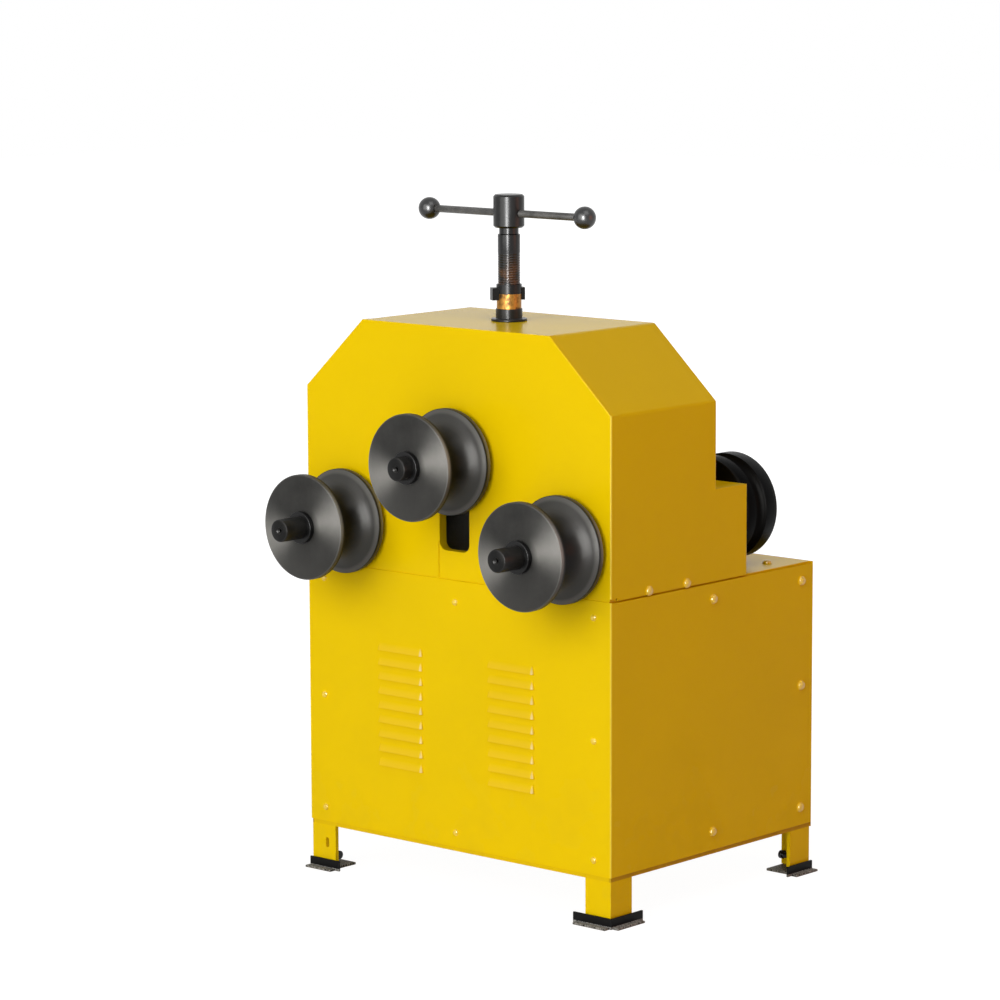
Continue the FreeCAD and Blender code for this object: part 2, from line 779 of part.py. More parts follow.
def head_cover():
    """The folded sheet hood over the plates, with its back wall and the screw's hole."""
    body = new_body(y=plate_back)
    depth = S.head_depth - S.plate_thickness
    pad(body, "XZ_Plane", head_corners(0, gearcase_top), depth, reverse=True)
    inner = body.newObject("PartDesign::Pocket", "Hollow")
    inner.Profile = outline(body, "XZ_Plane", head_corners(S.sheet, gearcase_top))
    bind(inner, "Length", depth - S.sheet)
    circle_pocket(body, "XY_Plane", 0, S.screw_setback - S.plate_thickness, neck_radius + S.fit_gap)
    node(body, "head_cover")
    return inner


def gearcase_cover():
    """The lower cover: side walls, back wall and the ledge behind the head."""
    low = (-half_width, plate_back, S.deck_height)
    outer = box(low, (half_width, gearcase_back, gearcase_top))
    hollow = box((-inner_x, plate_back, S.deck_height),
                 (inner_x, gearcase_back - S.sheet, gearcase_top - S.sheet))
    open_top = box((-inner_x, plate_back, gearcase_top - S.sheet),
                   (inner_x, rear_plate_back + S.sheet, gearcase_top))
    holes = [rod((x, gearcase_back - S.sheet * 2, peg_z), peg_collar_radius + S.slide_gap,
                 S.sheet * 3, ALONG_Y) for x in peg_places()]
    node(cut(outer, hollow, open_top, *holes), "gearcase_cover")


def bridge_plate():
    half = S.head_top_width / 2 - S.bridge_inset
    plate = box((-half, plate_back, bridge_bottom), (half, rear_plate_front, bridge_top))
    bore = rod((0, screw_y, bridge_bottom), neck_radius + S.nut_body_step + S.fit_gap, S.bridge_thickness)
    node(cut(plate, bore), "bridge_plate")


def guide_rails():
    inner = S.slide_width / 2 + S.slide_gap
    rails = []
    for sign in SIDES.values():
        x = sorted((inner * sign, (inner + S.rail_thickness) * sign), key=float)
        rails.append(box((x[0], plate_back, S.deck_height), (x[1], rear_plate_front, bridge_bottom)))
    node(grouped(*rails), "guide_rails")


# ---------------------------------------------------------------- bearings
def ring(at, outer, inner, length, rotation=ALONG_Y):
    return cut(rod(at, outer, length, rotation), rod(at, inner, length, rotation))


def bearing(x, y, z):
    """A ball bearing as its ring, with a groove round each face."""
    at = (x, y, z)
    race = ring(at, bearing_radius - S.fit_gap, journal_radius + S.fit_gap, S.bearing_width)
    middle = (bearing_radius + journal_radius) / 2
    groove = ring(at, middle + S.bearing_seal / 2, middle - S.bearing_seal / 2, S.housing_lip)
    return cut(race, groove)


def bearing_housings():
    for name, y in (("front_bearing_housings", plate_back),
                    ("rear_bearing_housings", rear_plate_front - S.bearing_width - 2 * S.housing_lip)):
        housings = []
        for sign in SIDES.values():
            at = (axis_x * sign, y, lower_z)
            seat = (axis_x * sign, y + S.housing_lip, lower_z)
            length = S.bearing_width + S.housing_lip * 2
            blank = rod(at, housing_radius, length, ALONG_Y)
            housings.append(cut(blank, rod(at, shaft_bore, length, ALONG_Y),
                                rod(seat, bearing_radius, S.bearing_width, ALONG_Y)))
        node(grouped(*housings), name)
    places = (plate_back + S.housing_lip, rear_plate_front - S.bearing_width - S.housing_lip)
    bearings = [bearing(axis_x * sign, y, lower_z)
                for sign in SIDES.values() for y in places]
    node(grouped(*bearings), "lower_bearings")


# ---------------------------------------------------------------- shafts and rolls
def roll_corners(outer, width, bore, groove, depth, drop, flare):
    """Half section of a roll: radius across, axis up from its front face.

    The round groove opens into a bevelled mouth, which drops from the rim and flares sideways.
    """
    edge = S.roll_edge
    outside = groove - depth + drop                 # groove's centre, past the bevel's inner edge
    half = root(groove * groove - outside * outside)
    middle = width / 2
    inner = outer - drop
    return [(bore, 0), (outer - edge, 0), (outer, edge), (outer, middle - half - flare),
            (inner, middle - half), Arc((inner, middle + half), groove, 1),
            (outer, middle + half + flare), (outer, width - edge), (outer - edge, width),
            (bore, width)]


def key_block(x, start, z, length, gap):
    """A flat key along a shaft's top, or with a gap the way it needs in a bore."""
    half = S.key_width / 2 + gap
    top = S.seat_radius + S.key_rise + gap
    return box((x - half, start, z), (x + half, start + length, z + top))


def front_roll(name, x, z):
    body = new_body(x, roll_front, z)
    turned(body, roll_corners(S.roll_radius, S.roll_width, S.seat_radius + S.fit_gap, S.tube_radius,
                              S.groove_depth, S.mouth_drop, S.mouth_flare))
    node(cut(body, key_block(x, roll_front, z, S.roll_width, S.fit_gap)), name)


def roll_shaft(name, x, z, reach, end_radius, tail):
    """A stepped shaft from its front tip: thread, roll seat, journal."""
    body = new_body(x, front - reach, z)
    seat_at = reach - S.roll_gap - S.roll_width
    thread_root = seat_at - S.thread_relief
    journal_at = reach - S.roll_gap
    edge = S.roll_edge
    turned(body, [(0, 0), (end_radius - edge, 0), (end_radius, edge), (end_radius, thread_root),
                  (S.seat_radius, thread_root), (S.seat_radius, journal_at),
                  (journal_radius, journal_at), (journal_radius, reach + tail), (0, reach + tail)])
    key_start = roll_front + S.key_width
    node(fused(body, key_block(x, key_start, z, S.roll_width - S.key_width * 2, 0)), name)


def roll_nut(name, x, z, end_radius):
    body = new_body(x, roll_front - S.nut_thickness, z)
    edge = S.roll_edge
    bore = end_radius + S.fit_gap
    recess = S.nut_thickness - S.thread_relief - S.slide_gap
    turned(body, [(bore, 0), (nut_radius - edge, 0), (nut_radius, edge),
                  (nut_radius, S.nut_thickness), (S.seat_radius + S.fit_gap, S.nut_thickness),
                  (S.seat_radius + S.fit_gap, recess), (bore, recess)])
    node(body, name)


def sprocket_face(teeth, bore):
    """The flat outline of a chain wheel, with a straight-sided gap at each roller."""
    pitch_radius = float(S.chain_pitch) / (2 * math.sin(math.pi / teeth))
    gap = float(S.roller_radius) * 1.03
    step = 2 * math.pi / teeth
    points = []
    for tooth in range(teeth):
        middle = tooth * step
        for angle, radius in ((-0.5, pitch_radius + gap * 0.75), (-0.36, pitch_radius + gap * 0.75),
                              (-0.2, pitch_radius - gap * 0.45), (0, pitch_radius - gap),
                              (0.2, pitch_radius - gap * 0.45), (0.36, pitch_radius + gap * 0.75)):
            turn = middle + angle * step
            points.append(Vector(radius * math.cos(turn), 0, radius * math.sin(turn)))
    points.append(points[0])
    wheel = Part.Face(Part.makePolygon(points))
    return wheel.cut(Part.Face(Part.Wire(Part.makeCircle(bore, Vector(), Vector(0, 1, 0)))))


def sprocket(name, x, z, teeth, shaft_radius, hub_reach):
    """A chain wheel with a hub on its front side."""
    width = float(S.chain_width) - float(S.chain_play)
    bore = float(shaft_radius) + float(S.fit_gap)
    wheel = sprocket_face(teeth, bore).extrude(Vector(0, width, 0))
    wheel.translate(Vector(0, -width / 2, 0))
    hub_radius = bore + float(S.sprocket_hub_wall)
    reach = float(hub_reach)
    blank, hole = (Part.makeCylinder(radius, reach, Vector(0, -reach, 0), Vector(0, 1, 0))
                   for radius in (hub_radius, bore))
    hub = blank.cut(hole)
    obj = doc.addObject("Part::Feature", "Sprocket")
    obj.Shape = wheel.fuse(hub).removeSplitter()
    place(obj, x, chain_y, z)
    node(obj, name)


def lower_line(side, sign):
    x = axis_x * sign
    tail = chain_y - front + S.chain_width
    roll_shaft(f"lower_{side}_shaft", x, lower_z, S.lower_reach, S.lower_end_radius, tail)
    front_roll(f"lower_{side}_roll", x, lower_z)
    roll_nut(f"lower_{side}_nut", x, lower_z, S.lower_end_radius)
    sprocket(f"lower_{side}_sprocket", x, lower_z, LOWER_TEETH, journal_radius, S.sprocket_hub_length)


def upper_line():
    tail = S.head_depth - S.sheet - S.plate_thickness - S.bore_gap * 2
    roll_shaft("upper_shaft", 0, upper_z, S.upper_reach, S.upper_end_radius, tail)
    front_roll("upper_roll", 0, upper_z)
    roll_nut("upper_nut", 0, upper_z, S.upper_end_radius)


# ---------------------------------------------------------------- slide and press screw
def slide_block():
    half = S.slide_width / 2
    y_low, y_high = plate_back + S.slide_gap, rear_plate_front - S.slide_gap
    block = box((-half, y_low, slide_bottom), (half, y_high, slide_top))
    length = y_high - y_low
    bore = rod((0, y_low, upper_z), shaft_bore, length, ALONG_Y)
    seats = [rod((0, y, upper_z), bearing_radius, S.bearing_width, ALONG_Y)
             for y in (y_low, y_high - S.bearing_width)]
    node(cut(block, bore, *seats), "slide_block")
    bearings = [bearing(0, y, upper_z) for y in (y_low, y_high - S.bearing_width)]
    node(grouped(*bearings), "slide_bearings")


def thrust_cap():
    """The cap that holds the screw's flange down on the slide."""
    body = new_body(0, screw_y, slide_top)
    gap = S.slide_gap
    inner = S.screw_radius + S.flange_step + gap
    outer = inner + S.cap_rim
    turned(body, [(inner, 0), (outer, 0), (outer, S.cap_thickness),
                  (S.screw_radius + gap, S.cap_thickness),
                  (S.screw_radius + gap, S.flange_thickness + gap * 2),
                  (inner, S.flange_thickness + gap * 2)], "XZ_Plane")
    node(body, "thrust_cap")


pin_depth = S.hub_below_bar - S.bar_radius - S.pin_clearance     # screw's neck inside the hub


def press_screw():
    """The screw from its flange on the slide up to the pin inside the hub."""
    body = new_body(0, screw_y, slide_top + S.slide_gap)
    neck_at = hub_bottom - slide_top - S.slide_gap - S.screw_neck_length
    tip = neck_at + S.screw_neck_length + pin_depth
    flange, neck = S.screw_radius + S.flange_step, S.screw_radius - S.screw_neck_step
    turned(body, [(0, 0), (flange, 0), (flange, S.flange_thickness),
                  (S.screw_radius, S.flange_thickness), (S.screw_radius, neck_at),
                  (neck, neck_at), (neck, tip), (0, tip)], "XZ_Plane")
    node(body, "press_screw")


def screw_hub():
    """The round head, bored across for the bar."""
    edge, radius = S.hub_edge, S.screw_radius + S.hub_wall
    height = S.hub_below_bar + S.hub_above_bar
    body = new_body(0, screw_y, hub_bottom)
    socket = S.screw_radius - S.screw_neck_step + S.fit_gap
    depth = pin_depth + S.fit_gap
    turned(body, [(socket, 0), (radius - edge, 0), (radius, edge), (radius, height - edge),
                  (radius - edge, height), (0, height), (0, depth), (socket, depth)], "XZ_Plane")
    cross = rod((-radius, screw_y, bar_z), S.bar_radius + S.fit_gap, radius * 2, ALONG_X)
    node(cut(body, cross), "screw_hub")


def tommy_bar():
    """The cross bar through the hub, with a ball on each end."""
    start = S.bar_seat - S.ball_spacing / 2 - S.bar_shift
    length = S.ball_spacing - S.bar_seat * 2
    gap = S.slide_gap
    node(rod((start, screw_y, bar_z), S.bar_radius, length, ALONG_X), "tommy_bar")
    balls = []
    for sign in SIDES.values():
        ball = doc.addObject("Part::Sphere", "Ball")
        bind(ball, "Radius", S.ball_radius)
        place(ball, S.ball_spacing / 2 * sign - S.bar_shift, screw_y, bar_z, SEAM_ASIDE)
        hole = rod((start - gap, screw_y, bar_z), S.bar_radius + S.fit_gap * 2, length + gap * 2, ALONG_X)
        balls.append(cut(ball, hole))
    node(grouped(*balls), "ball_knobs")


def press_nut():
    """The flanged bronze nut: its flange bears up under the bridge, its neck shows above."""
    bottom = bridge_bottom - S.nut_flange_thickness
    body = new_body(0, screw_y, bottom)
    bore = S.screw_radius + S.slide_gap
    flange, top = S.nut_flange_thickness, neck_top - bottom
    shoulder = flange + S.bridge_thickness
    barrel = neck_radius + S.nut_body_step
    rim = barrel + S.nut_flange_step
    turned(body, [(bore, 0), (rim, 0), (rim, flange), (barrel, flange), (barrel, shoulder),
                  (neck_radius, shoulder), (neck_radius, top), (bore, top)], "XZ_Plane")
    node(body, "press_nut")


def screw_seal():
    """The black ring in the cover round the nut's neck."""
    body = new_body(0, screw_y, head_top)
    bore = neck_radius + S.fit_gap
    collar = neck_radius + S.seal_wall
    rim = neck_radius + S.seal_flange_step
    turned(body, [(bore, 0), (rim, 0), (rim, S.seal_flange), (collar, S.seal_flange),
                  (collar, S.seal_height), (bore, S.seal_height)], "XZ_Plane")
    node(body, "screw_seal")


def lock_ring():
    """The jam nut on top of the neck, with a long and a short lug that hang down beside it."""
    z, low = neck_top + S.slide_gap, neck_top - S.lug_hang
    collar = rod((0, screw_y, z), S.screw_radius + S.ring_wall, S.ring_height)
    half, turn = S.lug_width / 2, math.radians(float(S.lug_turn))
    lugs = box((-S.lug_reach, -half, low), (S.lug_short_reach, half, low + S.lug_height))
    place(lugs, half * math.sin(turn) - S.lug_reach * math.cos(turn),
          screw_y - half * math.cos(turn) - S.lug_reach * math.sin(turn), low,
          Rotation(Vector(0, 0, 1), float(S.lug_turn)))
    bore = rod((0, screw_y, low), S.screw_radius + S.slide_gap, S.lug_hang + S.ring_height + S.slide_gap)
    neck_room = rod((0, screw_y, low), neck_radius + S.slide_gap, S.lug_hang + S.slide_gap)
    node(cut(fused(collar, lugs), bore, neck_room), "lock_ring")


# ---------------------------------------------------------------- drive
def output_drive():
    length = chain_y + S.chain_width - gearbox_middle
    node(rod((0, gearbox_middle, S.drive_axis_height), S.output_radius, length, ALONG_Y), "output_shaft")
    sprocket("drive_sprocket", 0, S.drive_axis_height, DRIVE_TEETH, S.output_radius, S.drive_hub_length)


def gearbox():
    """A worm gearbox: a block with a round boss on each side of the wheel and a worm housing."""
    half = S.gearbox_width / 2
    top = S.shelf_height + S.gearbox_height
    case = box((-half, gearbox_front, S.shelf_height), (half, gearbox_front + S.gearbox_depth, top))
    boss = rod((0, gearbox_front - S.gearbox_boss, S.drive_axis_height), S.output_radius * 2.6,
               S.gearbox_depth + S.gearbox_boss * 2, ALONG_Y)
    bore = rod((0, gearbox_middle - S.slide_gap, S.drive_axis_height), S.output_radius + S.fit_gap,
               S.gearbox_depth, ALONG_Y)
    neck = rod((half, gearbox_middle, S.motor_axis_height), S.motor_radius * 0.8, S.gearbox_neck, ALONG_X)
    node(cut(fused(case, boss, neck), bore), "gearbox")


def motor():
    """The finned motor on the gearbox's side, with a terminal box on top and a fan cover."""
    start = S.gearbox_width / 2 + S.gearbox_neck
    z, radius = S.motor_axis_height, S.motor_radius
    end = inner_x - S.motor_clearance - S.fan_cover_depth
    length = end - start
    at = (start, gearbox_middle, z)
    can = rod(at, radius - S.fin_height, length, ALONG_X)
    flange = rod(at, radius + S.motor_flange_step, S.motor_flange, ALONG_X)
    tail = rod((end - S.motor_flange, gearbox_middle, z), radius, S.motor_flange, ALONG_X)
    fins = [motor_fin(start, length, index) for index in range(MOTOR_FINS)]
    half = S.terminal_depth / 2
    box_x = start + (length - S.terminal_width) / 2
    terminals = box((box_x, gearbox_middle - half, z),
                    (box_x + S.terminal_width, gearbox_middle + half, z + radius + S.terminal_rise))
    node(fused(can, flange, tail, terminals, *fins), "motor")
    cover = ring((end, gearbox_middle, z), radius, radius - S.sheet, S.fan_cover_depth, ALONG_X)
    grille = rod((end + S.fan_cover_depth - S.sheet, gearbox_middle, z), radius, S.sheet, ALONG_X)
    node(fused(cover, grille), "motor_fan_cover")


def motor_fin(start, length, index):
    """One cooling fin that runs along the can, at its own angle round it."""
    obj = doc.addObject("Part::Box", "Fin")
    bind(obj, "Length", length)
    bind(obj, "Width", S.fin_width)
    bind(obj, "Height", S.motor_radius)
    turn = 360 * index / MOTOR_FINS
    return place(obj, start, gearbox_middle, S.motor_axis_height, Rotation(Vector(1, 0, 0), turn))


def control_box():
    x_low = S.leg_width + S.control_clearance - frame_x
    high = (x_low + S.control_width, gearbox_front + S.control_depth, S.shelf_height + S.control_height)
    node(box((x_low, gearbox_front, S.shelf_height), high), "control_box")


def tangent_loop(circles):
    """Straight runs and arcs of a belt round circles (x, z, radius), clockwise from above."""
    runs = []
    for index, (x1, z1, r1) in enumerate(circles):
        x2, z2, r2 = circles[(index + 1) % len(circles)]
        span = math.hypot(x2 - x1, z2 - z1)
        heading = math.atan2(z2 - z1, x2 - x1)
        side = heading + math.acos((r1 - r2) / span)
        start = Vector(x1 + r1 * math.cos(side), 0, z1 + r1 * math.sin(side))
        end = Vector(x2 + r2 * math.cos(side), 0, z2 + r2 * math.sin(side))
        runs.append((start, end, side))
    return runs


def loop_face(circles):
    """The area inside a belt round circles."""
    runs = tangent_loop(circles)
    edges = []
    for index, (start, end, _) in enumerate(runs):
        edges.append(Part.LineSegment(start, end).toShape())
        following = (index + 1) % len(runs)
        x, z, radius = circles[following]
        after = runs[following][0]
        middle = (end - Vector(x, 0, z)) + (after - Vector(x, 0, z))
        if middle.Length < radius * 0.2:
            middle = Vector(end.z - z, 0, x - end.x)
        middle = middle.normalize() * radius
        edges.append(Part.Arc(end, Vector(x, 0, z) + middle, after).toShape())
    return Part.Face(Part.Wire(edges))


def drive_chain():
    """The roller chain: two bands of side plates, and its pins along the straight runs."""
    def circles(offset):
        lower = float(S.chain_pitch) / (2 * math.sin(math.pi / LOWER_TEETH)) + offset
        drive = float(S.chain_pitch) / (2 * math.sin(math.pi / DRIVE_TEETH)) + offset
        z = float(lower_z)
        return [(-float(axis_x), z, lower), (float(axis_x), z, lower),
                (0, float(S.drive_axis_height), drive)]

    half_link = float(S.link_height) / 2
    band = loop_face(circles(half_link)).cut(loop_face(circles(-half_link)))
    gap = float(S.chain_width) / 2 + float(S.chain_play)
    plate = float(S.chain_plate)
    bands = []
    for start in (-gap - plate, gap):
        side = band.extrude(Vector(0, plate, 0))
        side.translate(Vector(0, start, 0))
        bands.append(side)
    pins = []
    for start, end, _ in tangent_loop(circles(0)):
        span = end - start
        count = int((span.Length - 2 * half_link) / (4 * float(S.chain_pitch)))
        for number in range(1, count + 1):
            at = start + span * (number / (count + 1)) - Vector(0, gap + plate, 0)
            pins.append(Part.makeCylinder(half_link * 0.4, 2 * (gap + plate), at, Vector(0, 1, 0)))
    obj = doc.addObject("Part::Feature", "Chain")
    obj.Shape = bands[0].fuse(bands[1:] + pins)
    place(obj, 0, chain_y, 0)
    node(obj, "drive_chain")


# ---------------------------------------------------------------- spare rolls on the back
def peg_places():
    return {"left": -axis_x, "middle": axis_x * 0, "right": axis_x}.values()


def peg_bracket():
    """A bar behind the chain, with an arm at each end to the rear bearing plate."""
    half = inner_x - S.bracket_clearance
    wall = S.bracket_bar
    z_low = peg_z - S.bracket_height / 2
    outer = box((-half, rear_plate_back, z_low), (half, bracket_back, z_low + S.bracket_height))
    inner = box((wall - half, rear_plate_back, z_low), (half - wall, bracket_back - wall,
                                                        z_low + S.bracket_height))
    node(cut(outer, inner), "peg_bracket")


def storage_pegs():
    pegs = []
    end = S.peg_collar + S.spare_width
    thread = S.peg_radius * 0.7
    for x in peg_places():
        at = (x, bracket_back, peg_z)
        collar = rod(at, peg_collar_radius, S.peg_collar + S.sheet, ALONG_Y)
        peg = rod(at, S.peg_radius, S.sheet + end, ALONG_Y)
        stud = rod(at, thread, S.sheet + end + S.peg_stud, ALONG_Y)
        nut = rod((x, gearcase_back + end + S.slide_gap, peg_z), nut_radius, S.nut_thickness, ALONG_Y)
        pegs.append(fused(collar, peg, stud, nut))
    node(grouped(*pegs), "storage_pegs")


def spare_rolls():
    for name, x in zip(("left", "middle", "right"), peg_places()):
        body = new_body(x, spare_front + S.slide_gap, peg_z)
        turned(body, roll_corners(S.spare_radius, S.spare_width - S.slide_gap * 2,
                                  S.peg_radius + S.fit_gap, S.spare_tube_radius, S.spare_groove_depth,
                                  S.spare_mouth_drop, S.spare_mouth_flare))
        node(body, f"spare_roll_{name}")


# ---------------------------------------------------------------- fasteners
def round_head(at, radius, height, rotation):
    """A round-headed screw: a cap cut from a ball by its own rim."""
    ball_radius = (radius * radius + height * height) / (height * 2)
    blank = doc.addObject("Part::Cylinder", "Blank")
    bind(blank, "Radius", radius)
    bind(blank, "Height", height)
    ball = doc.addObject("Part::Sphere", "Crown")
    bind(ball, "Radius", ball_radius)
    place(ball, z=height - ball_radius)
    head = doc.addObject("Part::Common", "Head")
    head.Base, head.Tool = blank, ball
    return place(head, *at, rotation=rotation)


def front_screws():
    """Pan heads: three down each side of the front panel, two down its middle."""
    face = Rotation(Vector(1, 0, 0), 90)
    low = S.ground_gap + S.low_screw_rise
    column = half_width - S.front_screw_inset
    rows = (S.deck_height - S.top_screw_drop, S.deck_height - S.front_screw_drop, low)
    places = [(column * sign, z) for sign in SIDES.values() for z in rows]
    places += [(column * 0, S.deck_height - S.middle_screw_drop), (column * 0, low)]
    heads = [round_head((x, front, z), S.pan_radius, S.pan_height, face) for x, z in places]
    node(grouped(*heads), "front_panel_screws")


def side_screws():
    """Dome heads on the side panels and the deck, and along the foot of the gear case."""
    rear_y, middle_y = back - S.side_screw_inset, front + S.side_screw_middle
    top, low = S.deck_height - S.top_screw_drop, S.ground_gap + S.side_low_rise
    panel_places = [(middle_y, top), (rear_y, top), (rear_y, S.deck_height - S.side_screw_drop),
                    (rear_y, low), (middle_y, low)]
    cover_y, cover_z = front + S.cover_screw_front, S.deck_height + S.cover_screw_rise
    cover_places = [(cover_y, cover_z), (cover_y + S.cover_screw_pitch, cover_z)]
    panel_heads, cover_heads = [], []
    for sign in SIDES.values():
        outward = Rotation(Vector(0, 1, 0), 90 * sign)
        for places, heads in ((panel_places, panel_heads), (cover_places, cover_heads)):
            heads += [round_head((half_width * sign, y, z), S.dome_radius, S.dome_height, outward)
                      for y, z in places]
        deck_place = ((half_width - S.deck_screw_inset) * sign, back - S.deck_screw_setback, S.deck_height)
        panel_heads.append(round_head(deck_place, S.dome_radius, S.dome_height, ALONG_Z))
    node(grouped(*panel_heads), "side_panel_screws")
    node(grouped(*cover_heads), "cover_screws")


def build():
    base_frame()
    feet()
    foot_bolts()
    panels()
    cable_gland()
    deck_plate()
    bearing_plates()
    head_cover()
    gearcase_cover()
    bridge_plate()
    guide_rails()
    bearing_housings()
    for side, sign in SIDES.items():
        lower_line(side, sign)
    upper_line()
    slide_block()
    thrust_cap()
    press_screw()
    screw_hub()
    tommy_bar()
    press_nut()
    screw_seal()
    lock_ring()
    gearbox()
    motor()
    control_box()
    output_drive()
    drive_chain()
    peg_bracket()
    storage_pegs()
    spare_rolls()
    front_screws()
    side_screws()


def check():
    failed = [obj.Label for obj in doc.Objects if {"Invalid", "Error"} & set(obj.State)]
    failed += [obj.Label for obj in nodes if obj.Shape.isNull() or not obj.Shape.isValid()]
    if failed:
        raise RuntimeError("failed: " + ", ".join(sorted(set(failed))))


def export():
    os.makedirs("parts", exist_ok=True)
    for obj in nodes:
        obj.Shape.exportStep(os.path.join("parts", obj.Label + ".step"))
        solids, volume = len(obj.Shape.Solids), obj.Shape.Volume / 1000
        print(f"{obj.Label:26s} solids {solids:3d}  volume {volume:10.1f} cm3")


build()
doc.recompute()
check()
export()
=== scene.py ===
"""Ring roller: finishes and visible pieces around its packed construction."""
import math

import bmesh
import bpy
from bpy.props import FloatProperty, FloatVectorProperty, IntProperty, PointerProperty
from mathutils import Matrix, Vector


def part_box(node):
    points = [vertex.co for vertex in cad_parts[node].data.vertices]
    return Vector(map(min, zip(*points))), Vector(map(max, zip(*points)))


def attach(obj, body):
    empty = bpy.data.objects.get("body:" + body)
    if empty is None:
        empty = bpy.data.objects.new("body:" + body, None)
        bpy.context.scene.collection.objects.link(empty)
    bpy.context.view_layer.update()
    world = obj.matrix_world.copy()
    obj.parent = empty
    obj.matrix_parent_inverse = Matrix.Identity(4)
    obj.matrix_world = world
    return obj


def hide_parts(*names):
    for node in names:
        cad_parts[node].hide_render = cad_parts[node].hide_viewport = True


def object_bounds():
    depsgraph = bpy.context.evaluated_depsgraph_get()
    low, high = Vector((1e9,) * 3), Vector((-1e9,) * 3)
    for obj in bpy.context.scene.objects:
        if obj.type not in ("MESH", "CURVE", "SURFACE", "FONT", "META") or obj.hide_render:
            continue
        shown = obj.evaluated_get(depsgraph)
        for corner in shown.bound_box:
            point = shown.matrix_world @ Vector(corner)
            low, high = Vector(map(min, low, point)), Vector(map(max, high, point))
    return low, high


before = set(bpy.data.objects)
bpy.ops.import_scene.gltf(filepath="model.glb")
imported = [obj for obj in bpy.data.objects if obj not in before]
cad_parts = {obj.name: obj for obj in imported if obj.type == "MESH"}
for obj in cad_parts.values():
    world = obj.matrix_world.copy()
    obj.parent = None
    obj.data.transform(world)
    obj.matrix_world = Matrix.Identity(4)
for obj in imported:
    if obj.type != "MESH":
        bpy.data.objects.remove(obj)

bl_info = {
    "name": "Ring Roller",
    "version": (1, 0, 0),
    "blender": (4, 5, 0),
    "location": "View3D > Sidebar > Ring Roller",
    "description": "Builds the visible pieces and finishes of a ring roller",
    "category": "Object",
}

MM = 0.001
CAD_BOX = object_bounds()
PANEL_LOW, PANEL_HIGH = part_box("front_panel")
LOUVRE_RISE = 4.6 * MM                    # how far the louvres stand out of the front panel
FRONT_Y = PANEL_LOW.y + LOUVRE_RISE       # face of the front panel
FAN_TURN = 1.27                           # angle of the highlight fan painted on turned faces
BORE = 22.55 * MM                         # bore of the rolls, just clear of their shafts
SEAT_RADIUS = 22.5 * MM                   # shafts where the rolls sit
JOURNAL_RADIUS = 25 * MM                  # shafts where the bearings sit
SCREW_CREST = 17.95 * MM                  # outer radius of the press screw's thread
SMALL_STEPS = 64                          # sides of the smaller turned pieces


def middle(node):
    """Centre of a construction node's box."""
    low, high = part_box(node)
    return (low + high) / 2


# ------------------------------------------------------------------ settings
class RollerSizes(bpy.types.PropertyGroup):
    """Sizes that the visible pieces take beyond the construction's own."""

    turning_steps: IntProperty(
        name="Turning steps", description="Sides of a turned piece", default=128, min=24, max=256)
    sheet_bend: FloatProperty(
        name="Sheet bend", description="Outer radius where a cover is folded",
        default=3.5 * MM, unit="LENGTH")
    corner_radius: FloatProperty(
        name="Front corner", description="Radius of the front sheets' outer edges",
        default=1.8 * MM, unit="LENGTH")
    plate_edge: FloatProperty(
        name="Plate edge", description="Rounding of cut plate and paint build-up",
        default=0.9 * MM, unit="LENGTH")
    tube_radius: FloatProperty(
        name="Tube radius", description="Radius of the groove in the bending rolls",
        default=38 * MM, unit="LENGTH")
    spare_tube_radius: FloatProperty(
        name="Small tube radius", description="Radius of the groove in the spare rolls",
        default=12.5 * MM, unit="LENGTH")
    thread_pitch: FloatProperty(
        name="Thread pitch", description="Rise of the press screw's thread in one turn",
        default=4 * MM, unit="LENGTH")
    thread_depth: FloatProperty(
        name="Thread depth", description="Depth of the press screw's thread",
        default=0.6 * MM, unit="LENGTH")


class RollerColours(bpy.types.PropertyGroup):
    """Base colours of the finishes."""

    enamel: FloatVectorProperty(
        name="Enamel", description="Yellow paint of the cabinet and head", subtype="COLOR",
        default=(0.93, 0.63, 0.001))
    tool_steel: FloatVectorProperty(
        name="Tool steel", description="Turned and blackened rolls", subtype="COLOR",
        default=(0.046, 0.045, 0.042))
    oxide: FloatVectorProperty(
        name="Black oxide", description="Screw, hub, bar and nuts", subtype="COLOR",
        default=(0.007, 0.007, 0.007))
    bronze: FloatVectorProperty(
        name="Bronze", description="Nut of the press screw", subtype="COLOR",
        default=(0.45, 0.22, 0.04))
    shoe: FloatVectorProperty(
        name="Shoe paint", description="Black paint of the feet", subtype="COLOR",
        default=(0.004, 0.004, 0.004))


# ------------------------------------------------------------------ shader maths
class Value:
    """A shader number; arithmetic on it adds Math nodes."""

    def __init__(self, graph, socket):
        self.graph = graph
        self.socket = socket

    def maths(self, operation, *others, first=None):
        values = [self if first is None else first, *others]
        return self.graph.add("ShaderNodeMath", {"operation": operation}, dict(enumerate(values)))

    def __add__(self, other):
        return self.maths("ADD", other)

    __radd__ = __add__

    def __sub__(self, other):
        return self.maths("SUBTRACT", other)

    def __rsub__(self, other):
        return self.maths("SUBTRACT", self, first=other)

    def __mul__(self, other):
        return self.maths("MULTIPLY", other)

    __rmul__ = __mul__

    def __truediv__(self, other):
        return self.maths("DIVIDE", other)

    def __pow__(self, other):
        return self.maths("POWER", other)

    def between(self, low, high):
        """0 below low, 1 above high, and even in between."""
        return self.graph.add("ShaderNodeMapRange", {"clamp": True},
                              {"Value": self, "From Min": low, "From Max": high})


